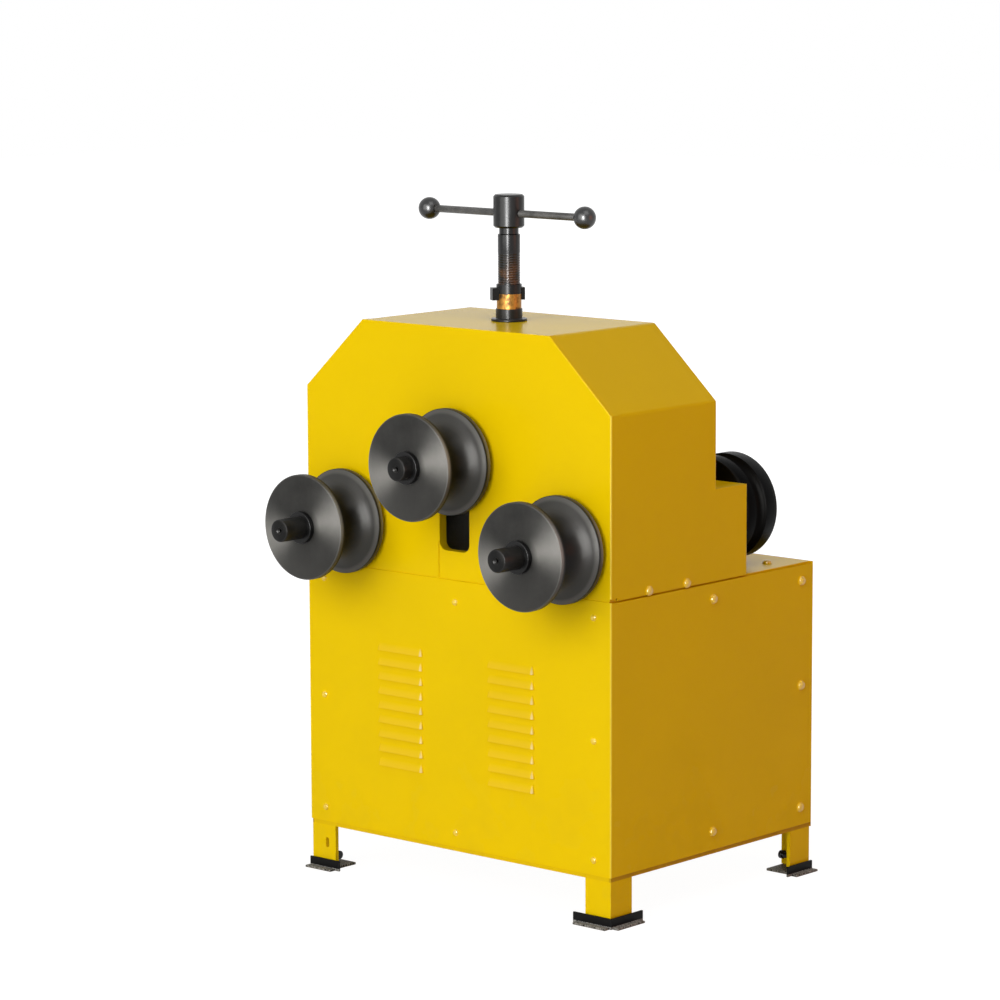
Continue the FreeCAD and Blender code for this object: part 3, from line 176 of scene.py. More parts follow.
class Graph:
    """A node tree, and the one way that nodes are added to it."""

    def __init__(self, tree):
        self.tree = tree

    def add(self, kind, settings=None, inputs=None, output=0):
        node = self.tree.nodes.new(kind)
        for name, value in (settings or {}).items():
            setattr(node, name, value)
        for name, value in (inputs or {}).items():
            if isinstance(value, Value):
                self.tree.links.new(value.socket, node.inputs[name])
            elif hasattr(value, "__len__") and node.inputs[name].type == "RGBA":
                node.inputs[name].default_value = (*value[:3], 1)
            else:
                node.inputs[name].default_value = value
        return Value(self, node.outputs[output])

    def white_to_view(self, seen, lit):
        """One shader for camera, glossy and transmitted rays, and another for all the rest."""
        camera, glossy, transmitted = (self.add("ShaderNodeLightPath", output=f"Is {kind} Ray")
                                       for kind in ("Camera", "Glossy", "Transmission"))
        looked_at = camera.maths("MAXIMUM", glossy).maths("MAXIMUM", transmitted)
        return self.add("ShaderNodeMixShader", {}, {0: looked_at, 1: lit, 2: seen})

    def show(self, shader, end="Material Output"):
        self.tree.links.new(shader.socket, self.tree.nodes[end].inputs["Surface"])


class Shade(Graph):
    """One material, with its principled surface."""

    def __init__(self, name, **constants):
        self.material = bpy.data.materials.new(name)
        self.material.use_nodes = True
        super().__init__(self.material.node_tree)
        self.surface = self.tree.nodes["Principled BSDF"]
        for socket, value in constants.items():
            self.surface.inputs[socket.replace("_", " ")].default_value = value

    def place(self, centre=(0, 0, 0), stretch=(1, 1, 1)):
        """Object coordinates, moved so that a piece's own centre is their origin."""
        here = self.add("ShaderNodeTexCoord", output="Object")
        moved = self.add("ShaderNodeVectorMath", {"operation": "SUBTRACT"}, {0: here, 1: centre})
        return self.add("ShaderNodeVectorMath", {"operation": "MULTIPLY"}, {0: moved, 1: stretch})

    def parts(self, vector):
        """The three numbers of a vector."""
        node = self.add("ShaderNodeSeparateXYZ", {}, {0: vector}).socket.node
        return [Value(self, number) for number in node.outputs]

    def noise(self, vector, scale, detail=3.0, roughness=0.5):
        return self.add("ShaderNodeTexNoise", {"noise_dimensions": "3D"},
                        {"Vector": vector, "Scale": scale, "Detail": detail,
                         "Roughness": roughness})

    def mix(self, factor, first, second):
        """A colour between two colours, which are a Mix node's sockets 6 and 7."""
        return self.add("ShaderNodeMix", {"data_type": "RGBA"}, {0: factor, 6: first, 7: second},
                        output=2)

    def bump(self, height, distance, strength):
        return self.add("ShaderNodeBump", {}, {"Height": height, "Distance": distance,
                                               "Strength": strength})

    def wire(self, **links):
        for socket, value in links.items():
            self.tree.links.new(value.socket, self.surface.inputs[socket.replace("_", " ")])
        return self.material


def tinted(colour, factor):
    return tuple(channel * factor for channel in colour)


# ------------------------------------------------------------------ finishes
# The second colour of this pair is painted shade for the strip under the panels' lower edge.
SEAM_DIRT, SEAM_SHADE = (0.30, 0.20, 0.03), (0.34, 0.11, 0.01)
# Painted highlights: a pale line down the front corners, and a pale sheen on the louvres' crests.
CORNER_HIGHLIGHT, LOUVRE_SHEEN = (1.0, 0.78, 0.09), (0.95, 0.60, 0.06)
# Painted glint at the right end of each louvre.
LOUVRE_GLINT = (0.95, 0.74, 0.28)
# The second colour of this pair is painted shade down in the thread.
SCREW_GREASE, THREAD_SHADE = (0.20, 0.075, 0.012), (0.004, 0.003, 0.003)
NUT_STAIN = (0.06, 0.025, 0.005)
FLANGE_DUST, SOLE_DIRT = (0.42, 0.41, 0.38), (0.10, 0.06, 0.02)
SHOE_SCRATCH = (0.05, 0.05, 0.05)
RUBBER_DARK, RUBBER_PALE = (0.005, 0.005, 0.005), (0.010, 0.010, 0.010)
PLATE_STEEL, CHAIN_STEEL = (0.32, 0.32, 0.31), (0.20, 0.19, 0.17)
BAR_STEEL = (0.085, 0.083, 0.08)
GEARBOX_PAINT, MOTOR_PAINT = (0.08, 0.10, 0.12), (0.10, 0.13, 0.16)


def enamel_material(name="enamel", gloss=0.045, rough_from=0.2, pressed=()):
    """Enamel: faint orange peel, dirt low down, painted shade under the panels' lower edge, and
    painted highlights on the front corners and the louvres.
    """
    colour = tuple(bpy.context.scene.roller_colours.enamel)
    shade = Shade(name, IOR=1.5, Specular_IOR_Level=gloss)
    here = shade.place()
    cloud = shade.noise(here, 3.0, 4.0)
    speck = shade.noise(here, 420.0, 2.0)
    peel = shade.noise(here, 160.0, 1.0)
    across, along, height = shade.parts(here)
    beside, side, foot = across.maths("ABSOLUTE"), PANEL_HIGH.x, PANEL_LOW.z
    low = 1 - height.between(50 * MM, 340 * MM)
    grime = low * shade.noise(here, 14.0, 5.0).between(0.45, 0.75)
    # Painted shade in the strip just under the panels' lower edge, deeper on the sides.
    shade_under_panel = height.between(foot - 7.5 * MM, foot - 6.5 * MM)
    shade_under_panel = shade_under_panel * (1 - height.between(foot - 0.6 * MM, foot + 0.6 * MM))
    shade_under_panel = shade_under_panel * (beside.between(side - 7 * MM, side - 3 * MM) * 0.75 + 0.2)
    base = shade.mix(cloud.between(0.3, 0.7), tinted(colour, 0.97), tinted(colour, 1.02))
    base = shade.mix(speck.between(0.72, 0.8) * 0.25, base, tinted(colour, 0.7))
    base = shade.mix(grime * 0.12, base, SEAM_DIRT)
    base = shade.mix(shade_under_panel * 0.55, base, SEAM_SHADE)
    # Painted highlight down the rounded front corners.
    corner = beside.between(side - 2.8 * MM, side - 1.8 * MM)
    corner = corner * (1 - along.between(FRONT_Y + 2 * MM, FRONT_Y + 3 * MM))
    base = shade.mix(corner * 0.6, base, CORNER_HIGHLIGHT)
    if pressed:
        # Painted sheen on the louvres' crests, and a painted glint at the right end of each.
        crest_sheen = 1 - along.between(FRONT_Y - 3.4 * MM, FRONT_Y - 1 * MM)
        base = shade.mix(crest_sheen * 0.28, base, LOUVRE_SHEEN)
        for end in pressed:
            tip = across.between(end - 5 * MM, end - 3 * MM)
            tip = tip * (1 - across.between(end, end + 1 * MM))
            base = shade.mix(tip * crest_sheen * 0.9, base, LOUVRE_GLINT)
    rough = cloud.between(0.2, 0.8) * 0.06 + grime * 0.2 + rough_from
    return shade.wire(Base_Color=base, Roughness=rough, Normal=shade.bump(peel, 0.1 * MM, 0.3))


def lathe_marks(across, along, pitch):
    """Distance from the axis, the angle round it, and the fine rings that a lathe leaves."""
    radius = (across[0] * across[0] + across[1] * across[1]).maths("SQRT")
    around = across[0].maths("ARCTAN2", across[1])
    return radius, around, ((radius + along * 0.7) * (2 * math.pi / pitch)).maths("SINE")


def roll_material(name, centre, colour, outer, width, gloss):
    """A roll: turned faces with a painted fan of highlight, painted light from below, painted shade
    and highlights in the groove, and painted highlights on the rims.
    """
    shade = Shade(name, Metallic=0.1, IOR=1.5, Specular_IOR_Level=gloss)
    here = shade.place(centre)
    x, along, z = shade.parts(here)
    radius, around, rings = lathe_marks((x, z), along, 1.1 * MM)
    reach = radius / outer
    cloud = shade.noise(here, 22.0, 5.0, 0.6)
    fine = shade.noise(here, 900.0, 2.0)
    # Painted highlight: a fan of light across the turned faces.
    toward = (around - FAN_TURN).maths("COSINE")
    painted_fan = (toward * toward) ** 5 * reach.between(0.25, 0.45)
    rim, wall = 3 * MM, 8 * MM
    groove = along.between(rim, wall) * (1 - along.between(width - wall, width - rim))
    face = 1 - groove
    # Painted light from below: the roll grows lighter towards its bottom.
    low = (z / outer).between(0.3, -0.9)
    base = shade.mix(cloud.between(0.3, 0.72), tinted(colour, 0.5), tinted(colour, 0.9))
    base = shade.mix(low * 0.5, base, tinted(colour, 1.3))
    base = shade.mix(painted_fan * face * (cloud * 0.5 + 0.65), base, tinted(colour, 6.0))
    # In the groove: painted light on the middle of the flanks, painted shade deep down, a painted
    # highlight band at the mouth, and painted shade at the outer edge.
    base = shade.mix(groove * reach.between(0.60, 0.78), base, tinted(colour, 1.5))
    base = shade.mix(groove * (1 - reach.between(0.56, 0.72)), base, tinted(colour, 0.06))
    base = shade.mix(groove * reach.between(0.89, 0.94) * 0.6, base, tinted(colour, 3.2))
    base = shade.mix(groove * reach.between(0.985, 0.995), base, tinted(colour, 0.3))
    # Painted highlight on the rims, strongest within the fan.
    rim_highlight = face * reach.between(0.965, 0.985) * (painted_fan * 0.7 + 0.2)
    base = shade.mix(rim_highlight, base, tinted(colour, 5.0))
    rough = cloud.between(0.25, 0.75) * 0.1 + fine * 0.06 + 0.27
    return shade.wire(Base_Color=base, Roughness=rough,
                      Normal=shade.bump(rings * 0.5 + cloud * 0.4, 0.1 * MM, 0.5))


def turned_steel_material(name, centre, axis, colour, end=0):
    """Lathe-turned bar: fine rings, patches of oil, a dark face at a free end of radius end."""
    shade = Shade(name, Metallic=0.2, IOR=1.5, Specular_IOR_Level=0.14 if end else 0.3)
    here = shade.place(centre)
    parts = shade.parts(here)
    along = parts.pop("XYZ".index(axis))
    radius, _, rings = lathe_marks(parts, along, 0.9 * MM)
    cloud = shade.noise(here, 40.0, 5.0, 0.6)
    fine = shade.noise(here, 900.0, 2.0)
    base = shade.mix(cloud.between(0.3, 0.72), tinted(colour, 0.6), tinted(colour, 1.6))
    if end:
        face = 1 - along.between(0.3 * MM, 0.6 * MM)
        face = face * (1 - radius.between(end - 3 * MM, end - 2 * MM))
        base = shade.mix(face * 0.75, base, tinted(colour, 0.1))
    rough = cloud.between(0.25, 0.75) * 0.12 + fine * 0.06 + 0.24
    return shade.wire(Base_Color=base, Roughness=rough, Normal=shade.bump(rings, 0.02 * MM, 0.5))


def oxide_material(name, centre=(0, 0, 0), gloss=0.2):
    """Oiled black oxide: near black, patchy sheen, grey where hands rub it."""
    colour = tuple(bpy.context.scene.roller_colours.oxide)
    shade = Shade(name, IOR=1.5, Specular_IOR_Level=gloss)
    here = shade.place(centre)
    cloud = shade.noise(here, 34.0, 4.0, 0.6)
    fine = shade.noise(here, 700.0, 2.0)
    base = shade.mix(cloud.between(0.3, 0.7), tinted(colour, 0.3), tinted(colour, 1.2))
    base = shade.mix(fine.between(0.68, 0.8) * 0.4, base, tinted(colour, 4))
    rough = cloud.between(0.2, 0.8) * 0.08 + 0.26
    return shade.wire(Base_Color=base, Roughness=rough, Normal=shade.bump(fine, 0.02 * MM, 0.3))


def screw_material():
    """The greased thread: black crests, painted shade down in the thread, and brown old grease that
    gathers low on the screw.
    """
    colour = tuple(bpy.context.scene.roller_colours.oxide)
    centre = middle("press_screw")
    depth = bpy.context.scene.roller_sizes.thread_depth
    shade = Shade("greased_thread", IOR=1.5, Specular_IOR_Level=0.28)
    here = shade.place((centre.x, centre.y, 0))
    x, y, z = shade.parts(here)
    radius = (x * x + y * y).maths("SQRT")
    # Painted shade down in the thread, below its crests.
    root_shade = 1 - radius.between(SCREW_CREST - depth, SCREW_CREST)
    clean_from, clean_to = 970 * MM, 1035 * MM
    patches = shade.noise(here, 45.0, 4.0).between(0.42, 0.62)
    grease = patches * (1 - z.between(clean_from, clean_to))
    base = shade.mix(shade.noise(here, 90.0, 3.0), tinted(colour, 0.4), tinted(colour, 1.2))
    base = shade.mix(grease * 0.8, base, SCREW_GREASE)
    base = shade.mix(root_shade * 0.3, base, THREAD_SHADE)
    rough = 0.25 - grease * 0.08
    return shade.wire(Base_Color=base, Roughness=rough,
                      Normal=shade.bump(shade.noise(here, 600.0), 0.02 * MM, 0.4))


def bronze_material():
    """The screw's bronze nut, turned, with brown patches of grease."""
    colour = tuple(bpy.context.scene.roller_colours.bronze)
    shade = Shade("greasy_bronze", Metallic=0.6, Specular_IOR_Level=0.3)
    here = shade.place(middle("press_nut"))
    _, _, z = shade.parts(here)
    pitch = 0.7 * MM
    rings = (z * (2 * math.pi / pitch)).maths("SINE")
    stain = shade.noise(here, 85.0, 5.0)
    base = shade.mix(stain.between(0.40, 0.60), tinted(colour, 0.95), NUT_STAIN)
    rough = stain * 0.25 + 0.2
    return shade.wire(Base_Color=base, Roughness=rough, Normal=shade.bump(rings, 0.04 * MM, 0.5))


def shoe_material():
    """Black paint on the angle shoes, dusty and scuffed to grey along the flanges."""
    colour = tuple(bpy.context.scene.roller_colours.shoe)
    shade = Shade("shoe_paint", IOR=1.5, Specular_IOR_Level=0.08)
    here = shade.place()
    _, _, z = shade.parts(here)
    ribs = shade.noise(shade.place(stretch=(420, 420, 30)), 1.0, 3.0)
    dust = (1 - z.between(3.8 * MM, 4.6 * MM)) * ribs.between(0.35, 0.6)
    sole = 1 - z.between(0.8 * MM, 1.6 * MM)
    scratch = shade.noise(shade.place(stretch=(30, 30, 400)), 6.0, 3.0).between(0.62, 0.75)
    base = shade.mix(dust * 0.85, colour, FLANGE_DUST)
    base = shade.mix(sole * 0.6, base, SOLE_DIRT)
    base = shade.mix(scratch * 0.15, base, SHOE_SCRATCH)
    rough = dust * 0.35 + 0.42
    return shade.wire(Base_Color=base, Roughness=rough,
                      Normal=shade.bump(shade.noise(here, 500.0), 0.04 * MM, 0.5))


def rubber_material():
    """Black rubber of the ring round the nut and of the cable gland."""
    shade = Shade("black_rubber", Specular_IOR_Level=0.25)
    here = shade.place()
    grain = shade.noise(here, 800.0, 2.0)
    base = shade.mix(shade.noise(here, 40.0), RUBBER_DARK, RUBBER_PALE)
    return shade.wire(Base_Color=base, Roughness=grain * 0.1 + 0.25,
                      Normal=shade.bump(grain, 0.02 * MM, 0.4))


def bright_steel_material(name, colour, grain_axis, rough_from=0.3):
    """Ground or rolled steel with its grain along one axis."""
    shade = Shade(name, Metallic=0.95)
    stretch = [260, 260, 260]
    stretch[grain_axis] = 6
    grain = shade.noise(shade.place(stretch=tuple(stretch)), 2.0, 3.0)
    oil = shade.noise(shade.place(), 12.0, 4.0)
    base = shade.mix(grain, tinted(colour, 0.75), tinted(colour, 1.2))
    base = shade.mix(oil.between(0.5, 0.75) * 0.4, base, tinted(colour, 0.45))
    return shade.wire(Base_Color=base, Roughness=grain * 0.2 + rough_from,
                      Normal=shade.bump(grain, 0.06 * MM, 0.4))


def casting_material(name, colour):
    """Painted casting or motor enamel, slightly pebbled."""
    shade = Shade(name)
    here = shade.place()
    pebble = shade.noise(here, 260.0, 3.0)
    base = shade.mix(shade.noise(here, 9.0, 4.0), tinted(colour, 0.8), tinted(colour, 1.15))
    return shade.wire(Base_Color=base, Roughness=pebble * 0.2 + 0.4,
                      Normal=shade.bump(pebble, 0.3 * MM, 0.5))


# ------------------------------------------------------------------ modelling helpers
def deselect():
    """Leave edit mode and select nothing."""
    if bpy.context.object and bpy.context.object.mode != "OBJECT":
        bpy.ops.object.mode_set(mode="OBJECT")
    for obj in bpy.context.selected_objects:
        obj.select_set(False)


def only(obj):
    """Select one piece and make it active."""
    deselect()
    obj.select_set(True)
    bpy.context.view_layer.objects.active = obj


def seat(obj):
    """Move a piece's place into its mesh."""
    only(obj)
    bpy.ops.object.transform_apply(location=True, rotation=True, scale=True)
    return obj


def stood(obj, base, up):
    """Stand a piece that was made upright on the origin at a place, turned to point a way."""
    obj.matrix_world = Matrix.Translation(base) @ up.to_track_quat("Z", "Y").to_matrix().to_4x4()
    return seat(obj)


def joined(first, *others):
    """Join pieces into the first one."""
    deselect()
    for obj in (first, *others):
        obj.select_set(True)
    bpy.context.view_layer.objects.active = first
    bpy.ops.object.join()
    return first


def apply_modifiers(obj):
    only(obj)
    for modifier in list(obj.modifiers):
        bpy.ops.object.modifier_apply(modifier=modifier.name)
    return obj


def dress(obj, material):
    """Give a piece one finish all over."""
    obj.data.materials.clear()
    obj.data.materials.append(material)


def finish_piece(obj, name, body, material, nodes):
    """Name a piece, give it its finish, tie it to its body, and hide the nodes that it stands for.
    """
    seat(obj)
    obj.name = name
    obj.data.name = name
    dress(obj, material)
    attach(obj, body)
    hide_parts(*nodes)


def smooth(obj, degrees=32):
    """Shade a piece smooth except at edges sharper than an angle."""
    only(obj)
    bpy.ops.object.shade_smooth_by_angle(angle=math.radians(degrees))
    return obj


def outward(obj):
    """Merge doubles and point every face outwards."""
    only(obj)
    bpy.ops.object.mode_set(mode="EDIT")
    bpy.ops.mesh.select_all(action="SELECT")
    bpy.ops.mesh.remove_doubles(threshold=0.002 * MM)
    bpy.ops.mesh.normals_make_consistent(inside=False)
    bpy.ops.object.mode_set(mode="OBJECT")
    return obj


def bevelled(obj, width, segments=2, degrees=28, limit="ANGLE"):
    """Round a piece's sharp edges, or its weighted ones, and keep its flats flat."""
    modifier = obj.modifiers.new("edge", "BEVEL")
    modifier.width = width
    modifier.segments = segments
    modifier.limit_method = limit
    modifier.angle_limit = math.radians(degrees)
    modifier.use_clamp_overlap = limit == "ANGLE"
    flat = obj.modifiers.new("flat", "WEIGHTED_NORMAL")
    flat.weight = 100
    flat.keep_sharp = True
    return apply_modifiers(obj)


def rounded_where(obj, width, chosen):
    """Round only the long corner edges whose middle passes a test."""
    shortest, flattest = 55 * MM, 0.8
    sides = {}
    for face in obj.data.polygons:
        for key in face.edge_keys:
            sides.setdefault(key, []).append(face.normal)
    weights = obj.data.attributes.new("bevel_weight_edge", "FLOAT", "EDGE")
    for edge in obj.data.edges:
        ends = [obj.data.vertices[index].co for index in edge.vertices]
        long = (ends[0] - ends[1]).length > shortest
        faces = sides[edge.key]
        corner = len(faces) == 2 and faces[0].dot(faces[1]) < flattest
        picked = long and corner and chosen((ends[0] + ends[1]) / 2)
        weights.data[edge.index].value = float(picked)
    return bevelled(obj, width, 3, limit="WEIGHT")


def near(first, second):
    """Whether two measures are the same one."""
    return abs(first - second) < 0.05 * MM


def rounded_copy(node, width, segments=2, degrees=28):
    """A merged copy of a construction node with its sharp edges rounded."""
    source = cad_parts[node]
    obj = bpy.data.objects.new(node + "_dressed", source.data.copy())
    bpy.context.scene.collection.objects.link(obj)
    only(obj)
    bpy.ops.object.mode_set(mode="EDIT")
    bpy.ops.mesh.select_all(action="SELECT")
    bpy.ops.mesh.remove_doubles(threshold=0.005 * MM)
    bpy.ops.mesh.dissolve_limited(angle_limit=math.radians(1.0))
    bpy.ops.object.mode_set(mode="OBJECT")
    if "custom_normal" in obj.data.attributes:
        obj.data.attributes.remove(obj.data.attributes["custom_normal"])
    smooth(obj)
    if width:
        bevelled(obj, width, segments, degrees)
    return obj


def drawn(points):
    """A wire drawn from vertex to vertex, as (x, y, z)."""
    deselect()
    bpy.ops.mesh.primitive_plane_add(size=MM, location=(0, 0, 0))
    obj = bpy.context.object
    bpy.ops.object.mode_set(mode="EDIT")
    bpy.ops.mesh.select_all(action="SELECT")
    bpy.ops.mesh.merge(type="CENTER")
    bpy.ops.transform.translate(value=points[0])
    for start, end in zip(points, points[1:]):
        step = Vector(end) - Vector(start)
        bpy.ops.mesh.extrude_region_move(TRANSFORM_OT_translate={"value": step})
    return obj


def turned(profile, centre, axis="Y", steps=None):
    """Spin a half section round an axis through a centre; the profile is (radius, along)."""
    steps = steps or bpy.context.scene.roller_sizes.turning_steps
    along = Vector((0, 1, 0)) if axis == "Y" else Vector((0, 0, 1))
    points = [Vector((radius, 0, 0)) + along * reach + Vector(centre) for radius, reach in profile]
    obj = drawn(points)
    bpy.ops.mesh.select_all(action="SELECT")
    bpy.ops.mesh.spin(steps=steps, angle=2 * math.pi, center=centre, axis=along)
    bpy.ops.object.mode_set(mode="OBJECT")
    outward(obj)
    return smooth(obj, 30)


def rounded_corner(corner, before, after, radius, count=4):
    """Points of the rounding between two legs of a profile, near a quarter circle."""
    corner, before, after = Vector(corner), Vector(before), Vector(after)
    start = corner + (before - corner).normalized() * radius
    end = corner + (after - corner).normalized() * radius
    points = []
    for step in range(count + 1):
        t = step / count
        points.append(tuple(start * (1 - t) ** 2 + corner * 2 * t * (1 - t) + end * t ** 2))
    return points


def softened(profile, radii):
    """A profile with the named corners rounded: {index: radius}."""
    out = []
    for index, point in enumerate(profile):
        if index in radii:
            out += rounded_corner(point, profile[index - 1], profile[(index + 1) % len(profile)],
                                  radii[index])
        else:
            out.append(point)
    return out


def closed(profile):
    """A profile that ends where it starts."""
    return [*profile, profile[0]]


# ------------------------------------------------------------------ pieces
FOLDED = ("head_cover", "gearcase_cover")
CUT_PLATE = ("deck_plate", "left_panel", "right_panel", "rear_panel", "bottom_tray",
             "base_frame")
SHOES = ("foot_front_left", "foot_front_right", "foot_rear_left", "foot_rear_right")


class RollerCovers(bpy.types.Operator):
    """Round the folds of the covers and the edges of the painted plates"""

    bl_idname = "roller.covers"
    bl_label = "Covers and plates"

    def execute(self, context):
        sizes = context.scene.roller_sizes
        paint = enamel_material()
        for node in FOLDED:
            obj = self.folded(node, sizes.sheet_bend)
            finish_piece(obj, node + "_shell", "frame", paint, [node])
        pressed_paint = enamel_material("louvre_enamel", pressed=self.louvre_tips())
        fronts = (("front_plate", "front_plate_painted", paint),
                  ("front_panel", "louvred_panel", pressed_paint))
        for node, name, finish in fronts:
            obj = self.cornered(node, sizes.corner_radius)
            finish_piece(obj, name, "frame", finish, [node])
        for node in CUT_PLATE:
            obj = rounded_copy(node, sizes.plate_edge / 2)
            finish_piece(obj, node + "_painted", "frame", paint, [node])
        return {"FINISHED"}

    def louvre_tips(self):
        """Where the right ends of the two columns of louvres are."""
        crests = [vertex.co.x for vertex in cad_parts["front_panel"].data.vertices
                  if vertex.co.y < FRONT_Y - 3 * MM]
        return max(x for x in crests if x < 0), max(crests)

    def folded(self, node, radius):
        """Round the folds of a cover, and leave the ends that were cut as they are."""
        low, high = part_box(node)
        under_head = near(high.z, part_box("head_cover")[0].z)

        def is_fold(at):
            cut_end = near(at.y, low.y) or near(at.z, low.z)
            along = near(at.x, low.x) or near(at.x, high.x) or near(at.z, high.z)
            return (near(at.y, high.y) or (along and not under_head)) and not cut_end

        return rounded_where(rounded_copy(node, 0), radius, is_fold)

    def cornered(self, node, radius):
        """Round the upright corners and the sloping upper edges of a front sheet."""
        inner = 200 * MM          # edges whose middle is nearer the centre line stay sharp
        return rounded_where(rounded_copy(node, 0), radius,
                             lambda at: near(at.y, FRONT_Y) and abs(at.x) > inner)


class RollerShoes(bpy.types.Operator):
    """Dress the four black shoes and the cross bolts above them"""

    bl_idname = "roller.shoes"
    bl_label = "Shoes"

    def execute(self, context):
        paint = shoe_material()
        for node in SHOES:
            obj = rounded_copy(node, 0.5 * MM)
            finish_piece(obj, node + "_shoe", "frame", paint, [node])
        obj = rounded_copy("foot_bolts", 0.8 * MM)
        finish_piece(obj, "cross_bolts", "frame", oxide_material("bolt_oxide"),
                     ["foot_bolts"])
        return {"FINISHED"}


def roll_profile(outer, width, tube, depth, drop, flare):
    """Closed half section of a roll: a round groove whose mouth is bevelled, and chamfered rims."""
    centre = outer - depth + tube
    half = math.sqrt(tube ** 2 - (centre - outer + drop) ** 2)
    count = 14
    turn = math.asin(half / tube) / count
    chamfer, rim, halfway = 1 * MM, 1.5 * MM, width / 2
    arc = [(centre - tube * math.cos(turn * step), halfway + tube * math.sin(turn * step))
           for step in range(-count, count + 1)]
    front = [(BORE, chamfer), (BORE + chamfer, 0), (outer - rim, 0), (outer - rim * 0.3, rim * 0.3),
             (outer, rim), (outer, halfway - half - flare)]
    back = [(radius, width - along) for radius, along in reversed(front)]
    return closed(front + arc + back)


def front_rolls():
    """Place, body and roll node of each bending roll."""
    for place in ("lower_left", "lower_right", "upper"):
        yield place, f"{place}_line", f"{place}_roll"


class RollerRolls(bpy.types.Operator):
    """Turn the three bending rolls and the three spare rolls"""

    bl_idname = "roller.rolls"
    bl_label = "Grooved rolls"

    def execute(self, context):
        sizes = context.scene.roller_sizes
        colour = tuple(context.scene.roller_colours.tool_steel)
        pipe = {"tube": sizes.tube_radius, "depth": 36 * MM, "drop": 7 * MM, "flare": 3 * MM}
        small = {"tube": sizes.spare_tube_radius, "depth": 12 * MM, "drop": 2 * MM, "flare": 1 * MM}
        jobs = [(place + "_grooved_roll", body, node, pipe) for place, body, node in front_rolls()]
        jobs += [(f"spare_{side}_grooved_roll", "frame", f"spare_roll_{side}", small)
                 for side in ("left", "middle", "right")]
        for name, body, node, groove in jobs:
            low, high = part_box(node)
            outer = (high.x - low.x) / 2
            width = high.y - low.y
            centre = Vector(((low.x + high.x) / 2, low.y, (low.z + high.z) / 2))
            obj = turned(roll_profile(outer, width, **groove), centre)
            tint, gloss = (0.06, 0.02) if groove is small else (1, 0.12)
            steel = roll_material(name + "_steel", centre, tinted(colour, tint), outer, width,
                                  gloss)
            finish_piece(obj, name, body, steel, [node])
        return {"FINISHED"}


def shaft_profile(end_radius, seat_from, journal_from, length):
    """Half section of a roll shaft from its tip: centre hole, rounded end, roll seat, journal."""
    drill, cone = 2.2 * MM, 5.5 * MM
    hole = [(0, 9 * MM), (drill, 8 * MM), (drill, 4 * MM), (cone, 0.4 * MM), (cone + 0.6 * MM, 0)]
    tip = [(end_radius - 2 * MM, 0), (end_radius - 0.6 * MM, 0.8 * MM), (end_radius, 2.2 * MM)]
    return [*hole, *tip, (end_radius, seat_from), (SEAT_RADIUS, seat_from),
            (SEAT_RADIUS, journal_from), (JOURNAL_RADIUS, journal_from), (JOURNAL_RADIUS, length),
            (0, length)]


class RollerShafts(bpy.types.Operator):
    """Turn the three roll shafts and their round nuts"""

    bl_idname = "roller.shafts"
    bl_label = "Shafts and nuts"

    def execute(self, context):
        darker_than_rolls, running_clearance = 0.34, 0.05 * MM
        colour = tinted(tuple(context.scene.roller_colours.tool_steel), darker_than_rolls)
        for place, body, roll in front_rolls():
            low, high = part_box(place + "_shaft")
            centre = Vector(((low.x + high.x) / 2, low.y, (low.z + high.z) / 2))
            roll_low, roll_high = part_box(roll)
            end_radius = (19.0 if place == "upper" else 18.5) * MM
            seat_from = roll_low.y - low.y - 1.0 * MM
            profile = shaft_profile(end_radius, seat_from, roll_high.y - low.y, high.y - low.y)
            obj = turned(profile, centre, steps=SMALL_STEPS)
            steel = turned_steel_material(place + "_shaft_steel", centre, "Y", colour,
                                          end=end_radius)
            finish_piece(obj, place + "_turned_shaft", body, steel,
                         [place + "_shaft"])
            self.nut(place, body, end_radius + running_clearance, centre)
        return {"FINISHED"}

    def nut(self, place, body, bore, centre):
        low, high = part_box(place + "_nut")
        thick = high.y - low.y
        radius = (high.x - low.x) / 2
        base = Vector((centre.x, low.y, centre.z))
        edge = 1.4 * MM
        profile = softened([(bore, 0), (radius, 0), (radius, thick), (bore, thick)],
                           {1: edge, 2: edge * 0.5})
        obj = turned(closed(profile), base, steps=SMALL_STEPS)
        finish_piece(obj, place + "_round_nut", body,
                     oxide_material(place + "_nut_oxide", base), [place + "_nut"])


def thread_rod(bottom, turns, depth, pitch, centre):
    """One pitch of a shallow thread's section, carried up its helix."""
    crest, root, sides = SCREW_CREST, SCREW_CREST - depth, 40
    section = [(root, 0), (root, 0.2), (crest, 0.45), (crest, 0.75), (root, 1)]
    obj = drawn([(centre.x + radius, centre.y, bottom + pitch * rise) for radius, rise in section])
    bpy.ops.object.mode_set(mode="OBJECT")
    bpy.context.scene.cursor.location = centre
    bpy.ops.object.origin_set(type="ORIGIN_CURSOR")
    screw = obj.modifiers.new("helix", "SCREW")
    screw.screw_offset = pitch
    screw.iterations = turns
    screw.steps = screw.render_steps = sides
    screw.use_normal_calculate = True
    apply_modifiers(obj)
    return smooth(outward(obj), 30)


